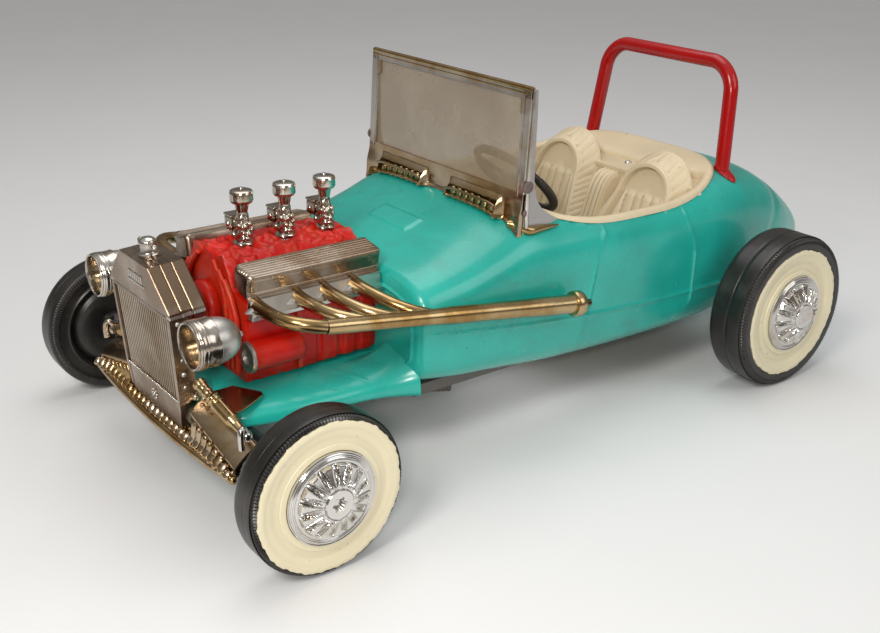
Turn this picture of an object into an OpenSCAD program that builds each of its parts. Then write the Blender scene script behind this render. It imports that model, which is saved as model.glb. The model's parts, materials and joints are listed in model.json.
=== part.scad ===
// Child's pedal car in the style of a hot-rod roadster.
// The car faces -Y, its left side is +X, and the ground is at z = 0.
// Inside the modules y is the distance behind the front axle; from_axle()
// moves every piece so that the origin lies under the middle of the car.

/* [Overall] */
// Length from the front tyre to the tail
overall_length = 1268; // [1262:1:1275]
// Distance between the front and rear axles
wheelbase = 856; // [850:1:862]

/* [Wheels] */
// Radius of a front tyre
front_tyre_r = 101.6; // [100:0.1:103]
// Tread width of a front tyre
front_tyre_w = 47; // [44:1:48]
// Outer face of a front tyre from the centre line
front_face_x = 329; // [327:1:334]
// Radius of a rear tyre
rear_tyre_r = 121.6; // [120:0.1:123]
// Tread width of a rear tyre
rear_tyre_w = 67; // [60:1:68]
// Outer face of a rear tyre from the centre line
rear_face_x = 311; // [308:1:316]

/* [Body] */
// Thickness of the moulded body
skin = 4; // [3:0.5:5]
// Half the width of the cockpit opening
cockpit_half_w = 190; // [186:1:191]

/* [Roll bar] */
// Radius of the roll bar tube
roll_r = 11.5; // [9:0.5:13]
// Height of the middle of the top tube
roll_top_z = 477; // [460:1:486]

/* [Windshield] */
// Half the width of the windshield frame
screen_half_w = 183; // [176:1:186]
// Height of the top of the frame
screen_top_z = 499; // [480:1:505]

/* [Steering] */
// Slope of the steering shaft from level
rake = 44; // [43:0.5:45]
// Radius of the steering wheel's rim at the middle of the grip
wheel_rim_r = 71; // [64:1:74]
// Length of the drop arm on the steering shaft
drop_arm = 35; // [34:0.5:36]
// Length of each spindle's steering arm
steer_arm = 55; // [54:0.5:56]

/* [Pedals] */
// Throw of the crank axle
crank_throw = 32; // [30:1:34]
// Height of the rod that the pedal arms hang from
pivot_z = 255; // [252:1:258]
// Length of a pedal arm to its pad
pedal_len = 165; // [160:1:168]

/* [Hidden] */
$fn = 48;

front_axle_y = front_tyre_r - overall_length / 2;
running = 0.05;             // radial play of a shaft in its bearing
tail_y = overall_length - front_tyre_r;

// paint and plating
turquoise = [0.16, 0.68, 0.62];
cream = [0.86, 0.81, 0.68];
chrome_c = [0.72, 0.70, 0.66];
gold_c = [0.66, 0.53, 0.34];
red_c = [0.78, 0.08, 0.03];
black_c = [0.05, 0.05, 0.05];
steel_c = [0.35, 0.35, 0.37];

// ---- helpers -----------------------------------------------------------

module from_axle() { translate([0, front_axle_y, 0]) children(); }

// a bar along X, along Y or standing up, centred on the point given
module rod_x(r, x0, x1, y, z) {
    translate([min(x0, x1), y, z]) rotate([0, 90, 0]) cylinder(r = r, h = abs(x1 - x0));
}
module rod_y(r, y0, y1, x, z) { translate([x, y1, z]) rotate([90, 0, 0]) cylinder(r = r, h = y1 - y0); }
module rod_z(r, z0, z1, x, y) { translate([x, y, z0]) cylinder(r = r, h = z1 - z0); }
module box(x0, x1, y0, y1, z0, z1) { translate([x0, y0, z0]) cube([x1 - x0, y1 - y0, z1 - z0]); }

// x mirrored when side is -1
module on_side(side) { if (side > 0) children(); else mirror([1, 0, 0]) children(); }

// a closed mesh through equal rings of points; caps close both ends
function ring_faces(n, rings, closed) = concat(
    [for (i = [0 : rings - (closed ? 1 : 2)]) for (j = [0 : n - 1]) each [
        [i * n + j, i * n + (j + 1) % n, ((i + 1) % rings) * n + j],
        [((i + 1) % rings) * n + j, i * n + (j + 1) % n, ((i + 1) % rings) * n + (j + 1) % n]]],
    closed ? [] : [[for (j = [n - 1 : -1 : 0]) j], [for (j = [0 : n - 1]) (rings - 1) * n + j]]);
module skin_over(rings, closed = false) {
    n = len(rings[0]);
    polyhedron(points = [for (r = rings) each r], faces = ring_faces(n, len(rings), closed), convexity = 8);
}

// value of a smooth curve through the rows [y, a, b, ...] of a table
function row_at(t, y, i = 0) = (i >= len(t) - 2 || y < t[i + 1][0]) ? i : row_at(t, y, i + 1);
function slope(t, i, k) = let (a = max(i - 1, 0), b = min(i + 1, len(t) - 1))
    (t[b][k] - t[a][k]) / (t[b][0] - t[a][0]);
function curve(t, y, k) = let (
        i = row_at(t, y), h = t[i + 1][0] - t[i][0], s = (y - t[i][0]) / h, s2 = s * s, s3 = s2 * s)
    t[i][k] * (2 * s3 - 3 * s2 + 1) + slope(t, i, k) * h * (s3 - 2 * s2 + s)
    + t[i + 1][k] * (3 * s2 - 2 * s3) + slope(t, i + 1, k) * h * (s3 - s2);

function pw(v, e) = sign(v) * pow(abs(v), e);

// ---- body --------------------------------------------------------------

cowl_y = 220;               // front face of the cowl
// rows: y, half width, bottom, top, roundness of the section
body_rows = [
    [cowl_y, 197, 119, 264, 5.0], [240, 200, 112, 271, 4.6], [300, 203, 100, 286, 4.4],
    [345, 204, 94, 301, 4.4], [400, 205, 87, 321, 4.4], [470, 205, 79, 323, 4.4],
    [640, 205, 71, 323, 4.4], [790, 203, 71, 323, 4.4], [855, 198, 76, 320, 4.2],
    [881, 195, 79, 314, 4.0], [955, 180, 88, 298, 3.3], [1028, 158, 100, 262, 2.8],
    [1108, 118, 112, 206, 2.5], [1150, 74, 118, 158, 2.2], [tail_y, 10, 129, 137, 2.0]
];
section_pts = 44;
waist = 0.48;               // share of the height below the widest line

function body_y(i, n) = let (s = i / n) cowl_y + (tail_y - cowl_y) * (1 - pow(1 - s, 1.35));
function body_ring(y, inset) = let (
        w = max(curve(body_rows, y, 1) - inset, 4), b = curve(body_rows, y, 2) + inset,
        t = max(curve(body_rows, y, 3) - inset, b + 4), e = 2 / curve(body_rows, y, 4),
        c = b + waist * (t - b))
    [for (j = [0 : section_pts - 1]) let (a = 360 * j / section_pts)
        [w * pw(cos(a), e), y, c + (sin(a) > 0 ? t - c : c - b) * pw(sin(a), e)]];
// height of the body's upper surface
function body_top(x, y) = let (
        w = curve(body_rows, y, 1), b = curve(body_rows, y, 2), t = curve(body_rows, y, 3),
        n = curve(body_rows, y, 4), c = b + waist * (t - b))
    c + (t - c) * pow(max(1 - pow(min(abs(x) / w, 1), n), 0), 1 / n);

module body_loft(inset, y_end) {
    n = 34;
    ys = [for (i = [0 : n]) cowl_y + inset + (body_y(i, n) - cowl_y) * (y_end - cowl_y - inset) / (tail_y - cowl_y)];
    skin_over([for (y = ys) body_ring(y, inset)]);
}

// front deck: a shallow tray under the engine
deck_y = -40;
deck_floor_z = 111;
deck_rows = [[deck_y, 118, 112, 134, 3], [0, 140, 112, 142, 3], [80, 156, 112, 144, 3], [230, 166, 112, 144, 3]];
function deck_ring(y, inset, floor_z) = let (
        w = curve(deck_rows, y, 1) - inset, t = curve(deck_rows, y, 3) - inset, e = 2 / 3, n = 20)
    concat([for (j = [0 : n]) let (a = 180 * j / n) [w * pw(cos(a), e), y, 112 + (t - 112) * pw(sin(a), e)]],
        [[-w, y, floor_z], [w, y, floor_z]]);
module deck_loft(inset, y0, y1, floor_z) {
    skin_over([for (i = [0 : 8]) deck_ring(y0 + (y1 - y0) * i / 8, inset, floor_z)]);
}

// plan of the cockpit: a rounded rectangle by formula, rounder at its rear end
cockpit_mid_y = 642;
cockpit_half_len = 222;
function cockpit_power(a) = sin(a) > 0 ? 0.66 : 0.5;
function cockpit_plan(half_w, half_len, n) = [for (j = [0 : n - 1]) let (a = 360 * j / n)
    [half_w * pw(cos(a), cockpit_power(a)), cockpit_mid_y + half_len * pw(sin(a), cockpit_power(a))]];

module body_shell() {
    color(turquoise) resize([0, 0, 0]) difference() {
        union() {
            difference() {
                body_loft(0, tail_y);
                body_loft(skin, tail_y - 6);
            }
            difference() {
                deck_loft(0, deck_y, cowl_y + 8, deck_floor_z);
                deck_loft(skin, deck_y - 14, cowl_y, deck_floor_z - 20);
            }
        }
        // open floor over the frame, the pedals and the crank
        box(-170, 170, cowl_y - 10, rail_end_y + 8, 0, 118);
        linear_extrude(height = 400) polygon(cockpit_plan(cockpit_half_w, cockpit_half_len, 56));
        // slots for the crank axle
        box(-260, 260, wheelbase - 12, wheelbase + 12, rear_tyre_r - 14, rear_tyre_r + 14);
    }
}

// ---- seat insert -------------------------------------------------------

rim_pts = 56;
// one ring of the rolled edge and the wall below it, at plan angle a
function seat_ring(a) = let (
        cx = pw(cos(a), cockpit_power(a)), cy = pw(sin(a), cockpit_power(a)),
        x = (cockpit_half_w - 2) * cx, y = cockpit_mid_y + (cockpit_half_len - 2) * cy,
        nx = cos(a), ny = sin(a), z = body_top(x, y) + 1.2,
        foot = y < 470 ? z - 16 : y < 560 ? z - 16 - (z - 186) * (y - 470) / 90 : 170)
    [for (p = [[-6, foot], [-1.5, foot], [-1.5, z - 4], [-1.5, z - 1], [6, z + 0.2], [8, z + 3], [5, z + 7], [-2, z + 8.5],
            [-9, z + 5], [-10, z - 2], [-6, z - 7]]) [x + p[0] * nx, y + p[0] * ny, p[1]]];

module seat_back(x) {
    hull() {
        for (s = [-1, 1]) translate([x + s * 52, 722, 178]) rotate([-8, 0, 0]) cylinder(r = 14, h = 60, $fn = 24);
        for (s = [-1, 1]) translate([x + s * 38, 742, 300]) sphere(r = 16, $fn = 20);
        translate([x, 748, 328]) sphere(r = 16, $fn = 20);
    }
}

module seat_insert() {
    color(cream) resize([0, 0, 0]) union() {
        skin_over([for (i = [0 : rim_pts - 1]) seat_ring(360 * i / rim_pts)], closed = true);
        intersection() {
            linear_extrude(height = 400) polygon(cockpit_plan(cockpit_half_w - 4, cockpit_half_len - 4, 56));
            union() {
                box(-200, 200, 560, 760, 170, 176);
                box(-200, 200, 560, 566, 170, 190);
                box(-200, 200, 752, 758, 170, 302);
                box(-200, 200, 752, 880, 296, 302);
                seat_back(-93);
                seat_back(93);
                hull() {
                    box(-16, 16, 700, 760, 172, 296);
                    box(-16, 16, 566, 570, 172, 200);
                }
            }
        }
    }
}

// ---- frame -------------------------------------------------------------

rail_z0 = 96;
rail_z1 = 112;
rail_end_y = 930;
pivot_y = 336;

module frame_rail(side) {
    color(steel_c) on_side(side) difference() {
        union() {
            box(150, 166, 232, rail_end_y, rail_z0, rail_z1);
            box(150, 156, pivot_y - 12, pivot_y + 12, rail_z1, pivot_z + 12);
        }
        rod_x(6, 149, 157, pivot_y, pivot_z);
    }
}

module engine_bearers() {
    color(steel_c) for (side = [-1, 1]) on_side(side) difference() {
        box(40, 56, -30, 236, 100, 116);
        rod_x(8, 39, 57, 0, front_tyre_r);
        box(39, 57, -8, 8, 99, front_tyre_r);
    }
}

module front_crossmember() { color(steel_c) box(-150, 150, 236, 254, 100, 116); }

// a strap that carries the seat over the drive rods
module seat_crossmember() {
    color(steel_c) union() {
        box(-162, 162, 620, 644, 165, 169.5);
        for (side = [-1, 1]) on_side(side) box(157, 162, 620, 644, rail_z1, 166);
    }
}

module rear_crossmember() { color(steel_c) box(-150, 150, rail_end_y - 18, rail_end_y, rail_z0, rail_z1); }

king_x = 262;
module front_axle_beam() {
    color(steel_c) {
        rod_x(8, -246, 246, 0, front_tyre_r);
        for (side = [-1, 1]) on_side(side) {
            box(244, 250, -7, 7, 78, 125);
            for (z = [78, 119]) difference() {
                union() {
                    box(249, king_x, -7, 7, z, z + 6);
                    rod_z(10, z, z + 6, king_x, 0);
                }
                rod_z(2, z - 1, z + 7, king_x, 0);
            }
            rod_z(6, 84, 119, king_x, 0);
        }
    }
}

module rear_axle_bearings() {
    color(steel_c) for (side = [-1, 1]) on_side(side) difference() {
        union() {
            box(151, 165, wheelbase - 16, wheelbase + 16, rail_z1, rear_tyre_r);
            rod_x(16, 151, 165, wheelbase, rear_tyre_r);
        }
        rod_x(8 + running, 150, 166, wheelbase, rear_tyre_r);
        box(150, 166, wheelbase - 20, wheelbase + 20, 90, rail_z1);
    }
}

module pedal_pivot_rod() {
    color(chrome_c) {
        rod_x(6, -156, 156, pivot_y, pivot_z);
        for (side = [-1, 1]) on_side(side) rod_x(10, 156, 161, pivot_y, pivot_z);
    }
}

// ---- steering ----------------------------------------------------------

hub_y = 543;
hub_z = 313;
shaft_len = 230;

// the frame of the steering shaft: local +Z runs down the shaft, local +Y down and back
module along_shaft() { translate([0, hub_y, hub_z]) rotate([90 + rake, 0, 0]) rotate([0, 0, 180]) children(); }

module steering_bracket() {
    color(steel_c) difference() {
        union() {
            along_shaft() translate([0, 0, 170]) cylinder(r = 14, h = 20);
            box(-12, 12, 410, 414, 190, 315);
            box(-20, 20, 402, 414, 312, 315);
        }
        along_shaft() translate([0, 0, 150]) cylinder(r = 8 + running, h = 60);
    }
}

module steering_shaft() {
    color(chrome_c) along_shaft() union() {
        translate([0, 0, 12]) cylinder(r = 8, h = shaft_len - 12);
        translate([0, 0, shaft_len - 8]) cylinder(r = 13, h = 7);
        translate([-7, 0, shaft_len - 8]) cube([14, drop_arm, 7]);
        translate([0, drop_arm, shaft_len - 8]) cylinder(r = 9, h = 7);
        translate([0, drop_arm, shaft_len - 2]) cylinder(r = 4, h = 24);
    }
}

module steering_wheel() {
    color(black_c) along_shaft() {
        rotate_extrude($fn = 72) translate([wheel_rim_r, 0]) circle(r = 6.5, $fn = 20);
        difference() {
            union() {
                translate([0, 0, -2]) cylinder(r = 17, h = 22);
                for (a = [90, 210, 330]) rotate([0, 0, a]) translate([0, -6, 1]) cube([wheel_rim_r - 2, 12, 5]);
            }
            translate([0, 0, 12]) cylinder(r = 8, h = 20);
        }
    }
}

arm_z = 86.4;
module tie_rod() {
    tongue_z = arm_z + 6;
    color(steel_c) difference() {
        union() {
            box(-king_x, king_x, steer_arm - 7, steer_arm + 7, tongue_z, tongue_z + 5);
            for (side = [-1, 1]) on_side(side) rod_z(10, tongue_z, tongue_z + 5, king_x, steer_arm);
            box(-7, 7, steer_arm, 423, tongue_z, tongue_z + 5);
            along_shaft() difference() {
                translate([-14, drop_arm - 20, shaft_len + 6]) cube([28, 62, 5]);
                for (v = [-11, 4]) translate([0, drop_arm + v, shaft_len]) cylinder(r = 5, h = 20);
                translate([-5, drop_arm - 11, shaft_len]) cube([10, 15, 20]);
            }
        }
        rod_z(4 + running, tongue_z - 1, tongue_z + 6, king_x, steer_arm);
        rod_z(4.6, tongue_z - 1, tongue_z + 6, -king_x, steer_arm);
        box(-20, 20, 380, 460, 60, tongue_z);
    }
}

module spindle(side) {
    color(steel_c) on_side(side) difference() {
        union() {
            rod_z(11, 84.4, 118.6, king_x, 0);
            rod_x(8, king_x, front_face_x + 5, 0, front_tyre_r);
            box(king_x - 6, king_x + 6, 4, steer_arm, arm_z, arm_z + 5.6);
            rod_z(9, arm_z, arm_z + 5.6, king_x, steer_arm);
            rod_z(4, arm_z, arm_z + 15, king_x, steer_arm);
        }
        rod_z(6 + running, 80, 120, king_x, 0);
    }
}

// ---- wheels ------------------------------------------------------------

// local frame: the axle is Z, the inner face is z = 0 and the outer face z = w
module tyre(r, w, white_r, cap_r, bore) {
    color(black_c) rotate_extrude($fn = 96) polygon([
        [bore, 0], [18, 0], [20, 6], [0.45 * r, 8], [0.56 * r, 16], [0.6 * r, 24], [0.6 * r, 27],
        [0.5 * r, 22], [0.42 * r, 15], [22, 12], [20, w - 16],
        [cap_r, w - 14], [cap_r + 4, w - 8], [white_r - 2, w - 8], [r - 6, w - 12], [r - 6, 12],
        [r - 12, 8], [0.72 * r, 8], [0.7 * r, 4], [0.72 * r, 1],
        [r - 12, 0], [r - 4, 3], [r, 10], [r, w - 10], [r - 4, w - 3], [white_r + 1, w - 0.5], [white_r, w - 4],
        [cap_r - 2, w - 4], [cap_r - 6, w - 9], [20, w - 9], [20, w - 6], [bore, w - 6]]);
}
module whitewall(w, white_r, cap_r, dish) {
    color(cream) rotate_extrude($fn = 96) polygon([
        [cap_r, w - 4], [white_r, w - 4], [white_r, w], [white_r - 6, w + 0.4],
        [(white_r + cap_r) / 2, w - dish], [cap_r + 4, w - dish * 0.6], [cap_r, w]]);
}
module hubcap(w, cap_r, proud, hole) {
    color(chrome_c) difference() {
        rotate_extrude($fn = 72) polygon([
            [22, w - 9], [cap_r - 7, w - 9], [cap_r - 2.5, w - 4], [cap_r - 0.5, w - 4], [cap_r - 0.5, w + 1], [cap_r - 3, w + 3],
            [cap_r * 0.8, w + 4], [cap_r * 0.74, w + 7], [cap_r * 0.42, w + proud - 6],
            [cap_r * 0.3, w + proud - 5], [cap_r * 0.29, w + proud], [0, w + proud],
            [0, w + proud - 4], [13, w + proud - 8], [20, w + proud - 9]]);
        translate([0, 0, w]) cylinder(r = hole, h = 60, $fn = 6);
    }
}

// puts a wheel piece on the axle at height z
module wheel_at(side, y, z, face_x, w) {
    on_side(side) translate([face_x - w, y, z]) rotate([0, 90, 0]) children();
}
front_white_r = front_tyre_r - 7.2;
front_cap_r = 0.58 * front_tyre_r;
rear_white_r = rear_tyre_r - 20.8;
rear_cap_r = 0.5 * rear_tyre_r;
module front_place(side) { wheel_at(side, 0, front_tyre_r, front_face_x, front_tyre_w) children(); }
module rear_place(side) { wheel_at(side, wheelbase, rear_tyre_r, rear_face_x, rear_tyre_w) children(); }

module front_tyre(side) {
    front_place(side) tyre(front_tyre_r, front_tyre_w, front_white_r, front_cap_r, 8 + running);
}
module front_whitewall(side) { front_place(side) whitewall(front_tyre_w, front_white_r, front_cap_r, 1); }
module front_hubcap(side) { front_place(side) hubcap(front_tyre_w, front_cap_r, 21, side > 0 ? 7 : 0.01); }
// the left wheel is fixed on the axle, the right one runs free on it
module rear_tyre(side) {
    rear_place(side) tyre(rear_tyre_r, rear_tyre_w, rear_white_r, rear_cap_r, side > 0 ? 8 : 8 + running);
}
module rear_whitewall(side) { rear_place(side) whitewall(rear_tyre_w, rear_white_r, rear_cap_r, 3.5); }
module rear_hubcap(side) { rear_place(side) hubcap(rear_tyre_w, rear_cap_r, 23, 0.01); }

// ---- pedal drive -------------------------------------------------------

rod_plane_x = 75;
arm_plane_x = 95;
pin_drop = 133.4;
arm_swing = asin(crank_throw / pin_drop);
pin_z = pivot_z - pin_drop * cos(arm_swing);

module rear_axle_crank() {
    color(chrome_c) {
        rod_x(8, -60, 60, wheelbase, rear_tyre_r);
        for (side = [-1, 1]) on_side(side) {
            rod_x(8, 84, rear_face_x - 4, wheelbase, rear_tyre_r);
            for (x = [60, 84]) {
                rod_x(10, x, x + 6, wheelbase, rear_tyre_r);
                rod_x(10, x, x + 6, wheelbase - side * crank_throw, rear_tyre_r);
                translate([x, min(wheelbase, wheelbase - side * crank_throw), rear_tyre_r - 8])
                    cube([6, crank_throw, 16]);
            }
            rod_x(6, 64, 86, wheelbase - side * crank_throw, rear_tyre_r);
        }
    }
}

module drive_rod(side) {
    y_back = wheelbase - side * crank_throw;
    y_front = pivot_y - side * crank_throw;
    run = y_back - y_front;
    tilt = atan((pin_z - rear_tyre_r) / run);
    len_rod = run / cos(tilt);
    color(steel_c) on_side(side) translate([rod_plane_x, y_back, rear_tyre_r]) rotate([-tilt, 0, 0]) difference() {
        union() {
            box(-2.5, 2.5, -len_rod, 0, -8, 8);
            rod_x(11, -5, 5, 0, 0);
            rod_x(10, -2.5, 2.5, -len_rod, 0);
        }
        rod_x(6 + running, -6, 6, 0, 0);
        rod_x(5.6, -6, 6, -len_rod, 0);
    }
}

// local frame of a pedal arm: it hangs down from the pivot rod
module at_pedal(side) {
    on_side(side) translate([0, pivot_y, pivot_z]) rotate([-side * arm_swing, 0, 0]) children();
}
module pedal_arm(side) {
    color(steel_c) at_pedal(side) difference() {
        union() {
            rod_x(11, arm_plane_x - 7, arm_plane_x + 7, 0, 0);
            box(arm_plane_x - 2.5, arm_plane_x + 2.5, -8, 8, -pedal_len, 0);
            rod_x(5, rod_plane_x + 3.5, arm_plane_x, 0, -pin_drop);
            box(arm_plane_x - 2.5, 146, -8, 8, -pedal_len - 4, -pedal_len);
        }
        rod_x(6 + running, arm_plane_x - 8, arm_plane_x + 8, 0, 0);
    }
}
module pedal_pad(side) {
    color(black_c) at_pedal(side) difference() {
        box(arm_plane_x + 3, 146, -19, 19, -pedal_len - 16, -pedal_len - 4);
        for (y = [-12 : 8 : 12]) box(arm_plane_x + 2, 147, y - 1.5, y + 1.5, -pedal_len - 17, -pedal_len - 13);
    }
}

// ---- roll bar ----------------------------------------------------------

roll_foot = [148, 848];
roll_foot_z = body_top(roll_foot[0], roll_foot[1]);
roll_bend = 42;
// how far the top tube stands inwards of the feet and behind them
roll_in = 15;
roll_back = 19;
module roll_bar() {
    rise = roll_top_z - roll_foot_z;
    lean = atan(roll_back / rise);
    spread = -atan(roll_in / rise);
    leg = rise / cos(lean);
    color(red_c) union() {
        translate([0, roll_foot[1], roll_foot_z]) rotate([-lean, 0, 0]) for (side = [-1, 1]) on_side(side) {
            translate([roll_foot[0], 0, 0]) rotate([0, spread, 0]) {
                translate([0, 0, 6]) cylinder(r = roll_r, h = leg / cos(spread) - roll_bend - 6);
                translate([-roll_bend, 0, leg / cos(spread) - roll_bend]) rotate([90, 0, 0])
                    rotate_extrude(angle = 90 - spread) translate([roll_bend, 0]) circle(r = roll_r);
            }
            rod_x(roll_r, 0, roll_foot[0] - roll_in - roll_bend * 0.97, 0, leg - 0.06);
        }
        // flattened feet that follow the body's shoulder
        for (side = [-1, 1]) on_side(side) hull() for (u = [-3, 6, 16])
            translate([roll_foot[0] + u, roll_foot[1] + 3, body_top(roll_foot[0] + u, roll_foot[1]) + 3.2])
                rotate([0, 24, 0]) cylinder(r = 11, h = 4);
    }
}

// the screws that show: windshield posts and seat shelf
module screws() {
    color(chrome_c) {
        for (side = [-1, 1]) on_side(side) {
            rod_x(8, screen_half_w + 0.4, screen_half_w + 5, 404, 366);
            rod_x(5, screen_half_w + 0.4, screen_half_w + 3.5, 402, 330);
        }
        translate([0, 790, 302]) cylinder(r = 6, h = 3);
    }
}

// ---- windshield --------------------------------------------------------

screen_y = 398;
screen_lean = 3;
pane_z0 = 355;
pane_z1 = 483;
module leaned() { translate([0, screen_y, 300]) rotate([-screen_lean, 0, 0]) translate([0, 0, -300]) children(); }

// outline of the lower panel: its lower edge follows the cowl
function cowl_edge(n) = [for (i = [0 : n]) let (x = screen_half_w * (2 * i / n - 1)) [x, body_top(x, screen_y + 6) + 1.5]];

module windshield_frame() {
    w = screen_half_w;
    color(chrome_c) leaned() {
        difference() {
            union() {
                rotate([90, 0, 0]) translate([0, 0, -4]) linear_extrude(height = 4)
                    polygon(concat(cowl_edge(16), [[w, screen_top_z - 3], [-w, screen_top_z - 3]]));
                rod_x(4, -w, w, 2, screen_top_z - 4);
                for (side = [-1, 1]) on_side(side) {
                    box(w - 14, w, -2, 0.5, 309, screen_top_z - 3);
                    // web that widens rearwards to the foot
                    translate([w - 3, 0, 0]) rotate([90, 0, 90]) linear_extrude(height = 3)
                        polygon([[0, 309], [52, 306], [30, 318], [17, 350], [11, 400], [8, screen_top_z - 4], [0, screen_top_z - 4]]);
                }
            }
            box(-167, 167, -10, 20, pane_z0, pane_z1);
        }
        // two air scoops
        for (side = [-1, 1]) on_side(side) difference() {
            box(28, 145, -14, 0.5, 322.5, 341);
            box(32, 141, -15, -2, 320, 336);
        }
    }
}

module windshield_pane() {
    color([0.6, 0.55, 0.45, 0.6]) leaned() box(-167, 167, 1, 3, pane_z0, pane_z1);
}

// ---- radiator, lamps and nose ------------------------------------------

nose_lean = 4;
// local frame of the radiator: z from the ground, y = 0 on the front face
module at_nose() { translate([0, -66, 135]) rotate([nose_lean, 0, 0]) translate([0, 0, -135]) children(); }

module radiator_shell() {
    color(chrome_c) at_nose() difference() {
        union() {
            rotate([90, 0, 0]) translate([0, 0, -48]) linear_extrude(height = 48)
                polygon([[-43, 308], [43, 308], [89, 260], [89, 254], [-89, 254], [-89, 260]]);
            rotate([90, 0, 0]) translate([0, 0, -24]) linear_extrude(height = 24)
                polygon([[-88, 256], [88, 256], [82, 135], [76, 104], [-76, 104], [-82, 135]]);
        }
        rotate([90, 0, 0]) translate([0, 0, -8]) linear_extrude(height = 9)
            polygon([[-82, 256], [82, 256], [76, 136], [-76, 136]]);
    }
}

module radiator_grille() {
    ribs = 25;
    color(chrome_c) at_nose() intersection() {
        rotate([90, 0, 0]) translate([0, 0, -8]) linear_extrude(height = 9)
            polygon([[-82, 256], [82, 256], [76, 136], [-76, 136]]);
        union() {
            box(-90, 90, 4.5, 8, 130, 260);
            for (i = [0 : ribs - 1]) let (x = (i - (ribs - 1) / 2) * 6.4) box(x - 1.7, x + 1.7, 1.5, 5, 130, 260);
        }
    }
}

module radiator_cap() {
    color(chrome_c) at_nose() {
        translate([0, 22, 308]) cylinder(r = 13, h = 4);
        translate([0, 22, 312]) cylinder(r = 10, h = 14);
        translate([0, 22, 326]) cylinder(r1 = 10, r2 = 6, h = 5);
        rod_x(3, -19, 19, 22, 320);
        for (x = [-19, 19]) translate([x, 22, 320]) sphere(r = 4.5, $fn = 24);
    }
}

lamp = [144, -72, 241];
lamp_r = 30;
module at_lamp(side) { on_side(side) translate(lamp) rotate([-90, 0, 0]) children(); }
module headlight_bucket(side) {
    color(chrome_c) {
        at_lamp(side) rotate_extrude($fn = 64) polygon([
            [0, 14], [22, 10], [27.5, 4], [lamp_r - 1, 4], [lamp_r - 1, 16],
            for (a = [0 : 10 : 90]) [(lamp_r - 1) * pow(cos(a), 0.8), 16 + 46 * sin(a)]]);
        on_side(side) rod_x(4, 88.5, 118, -54, lamp[2] - 8);
    }
}
module headlight_ring(side) {
    color(gold_c) at_lamp(side) rotate_extrude($fn = 64) polygon([
        [lamp_r - 4, -6], [lamp_r, -6], [lamp_r + 1, -4], [lamp_r + 1, 8], [lamp_r - 0.8, 8], [lamp_r - 0.8, 3.8],
        [lamp_r - 4, 3.8]]);
}

// nose pan: a sloping plate with a row of upright flutes under its front edge
pan_half_w = 204;
module front_pan() {
    pitch = 15;
    color(chrome_c) difference() {
        union() {
            for (side = [-1, 1]) on_side(side) rotate([90, 0, 90]) linear_extrude(height = pan_half_w)
                polygon([[-56, 90], [-53, 90], [-53, 124], [-26, 145.5], [-26, 148], [-30, 148], [-56, 127]]);
            for (i = [-13 : 13]) translate([i * pitch, -55, 94]) {
                cylinder(r = 5.5, h = 28, $fn = 24);
                sphere(r = 5.5, $fn = 24);
            }
        }
        // the wings get lower towards the wheels
        for (side = [-1, 1]) on_side(side) translate([96, -80, 150]) rotate([0, 13, 0]) cube([220, 90, 60]);
        box(-90, 90, -80, -20, 98, 180);
    }
}

module bumper_bar() {
    bar_half = 207;
    sag = 10;
    bar_r = (bar_half * bar_half + sag * sag) / (2 * sag);
    half_angle = asin(bar_half / bar_r);
    color(gold_c) translate([0, -71 + bar_r, 85.5]) rotate([0, 0, -90 - half_angle])
        rotate_extrude(angle = 2 * half_angle, $fn = 360) translate([bar_r - 4, -4]) square([8, 8]);
}

// a plated tube that lies on the pan from the radiator to the wheel
module shock_absorber(side) {
    from = [101, -50, 172];
    reach = [96, 14, -38];
    run = norm(reach);
    color(gold_c) on_side(side) translate(from) rotate([0, acos(reach[2] / run), atan2(reach[1], reach[0])]) {
        cylinder(r = 7, h = 34);
        translate([0, 0, 34]) cylinder(r = 9.5, h = 44);
        translate([0, 0, 78]) cylinder(r = 6, h = run - 86);
        translate([0, 0, run - 2]) sphere(r = 9, $fn = 24);
    }
}

// ---- engine ------------------------------------------------------------

engine_y0 = 18;
engine_y1 = 219.5;
cover_tilt = 10;
module engine_block() {
    color(red_c) union() {
        rotate([90, 0, 0]) translate([0, 0, -engine_y1 + 6]) linear_extrude(height = engine_y1 - engine_y0 - 6)
            polygon([[-88, 144.6], [88, 144.6], [94, 160], [94, 232], [104, 240], [100, 256], [60, 263.5], [52, 284],
                [40, 299], [-40, 299], [-52, 284], [-60, 263.5], [-100, 256], [-104, 240], [-94, 232], [-94, 160]]);
        for (side = [-1, 1]) on_side(side) {
            for (y = [44 : 44 : 176]) box(90, 97, y, y + 18, 150, 226);
            // lower side cylinder with its front flange
            rod_y(19, 20, 84, 101, 186);
        }
        rod_y(34, 6, 20, 0, 226);
        rod_y(22, 0, 8, 0, 226);
    }
}

module valve_cover(side) {
    color(chrome_c) on_side(side) translate([67, 0, 301]) rotate([0, cover_tilt, 0]) difference() {
        box(0, 41, 24, engine_y1 - 0.5, -32, 0);
        for (i = [0 : 4]) box(5 + i * 7, 8 + i * 7, 26, engine_y1 - 3, -1.5, 1);
    }
}

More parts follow.
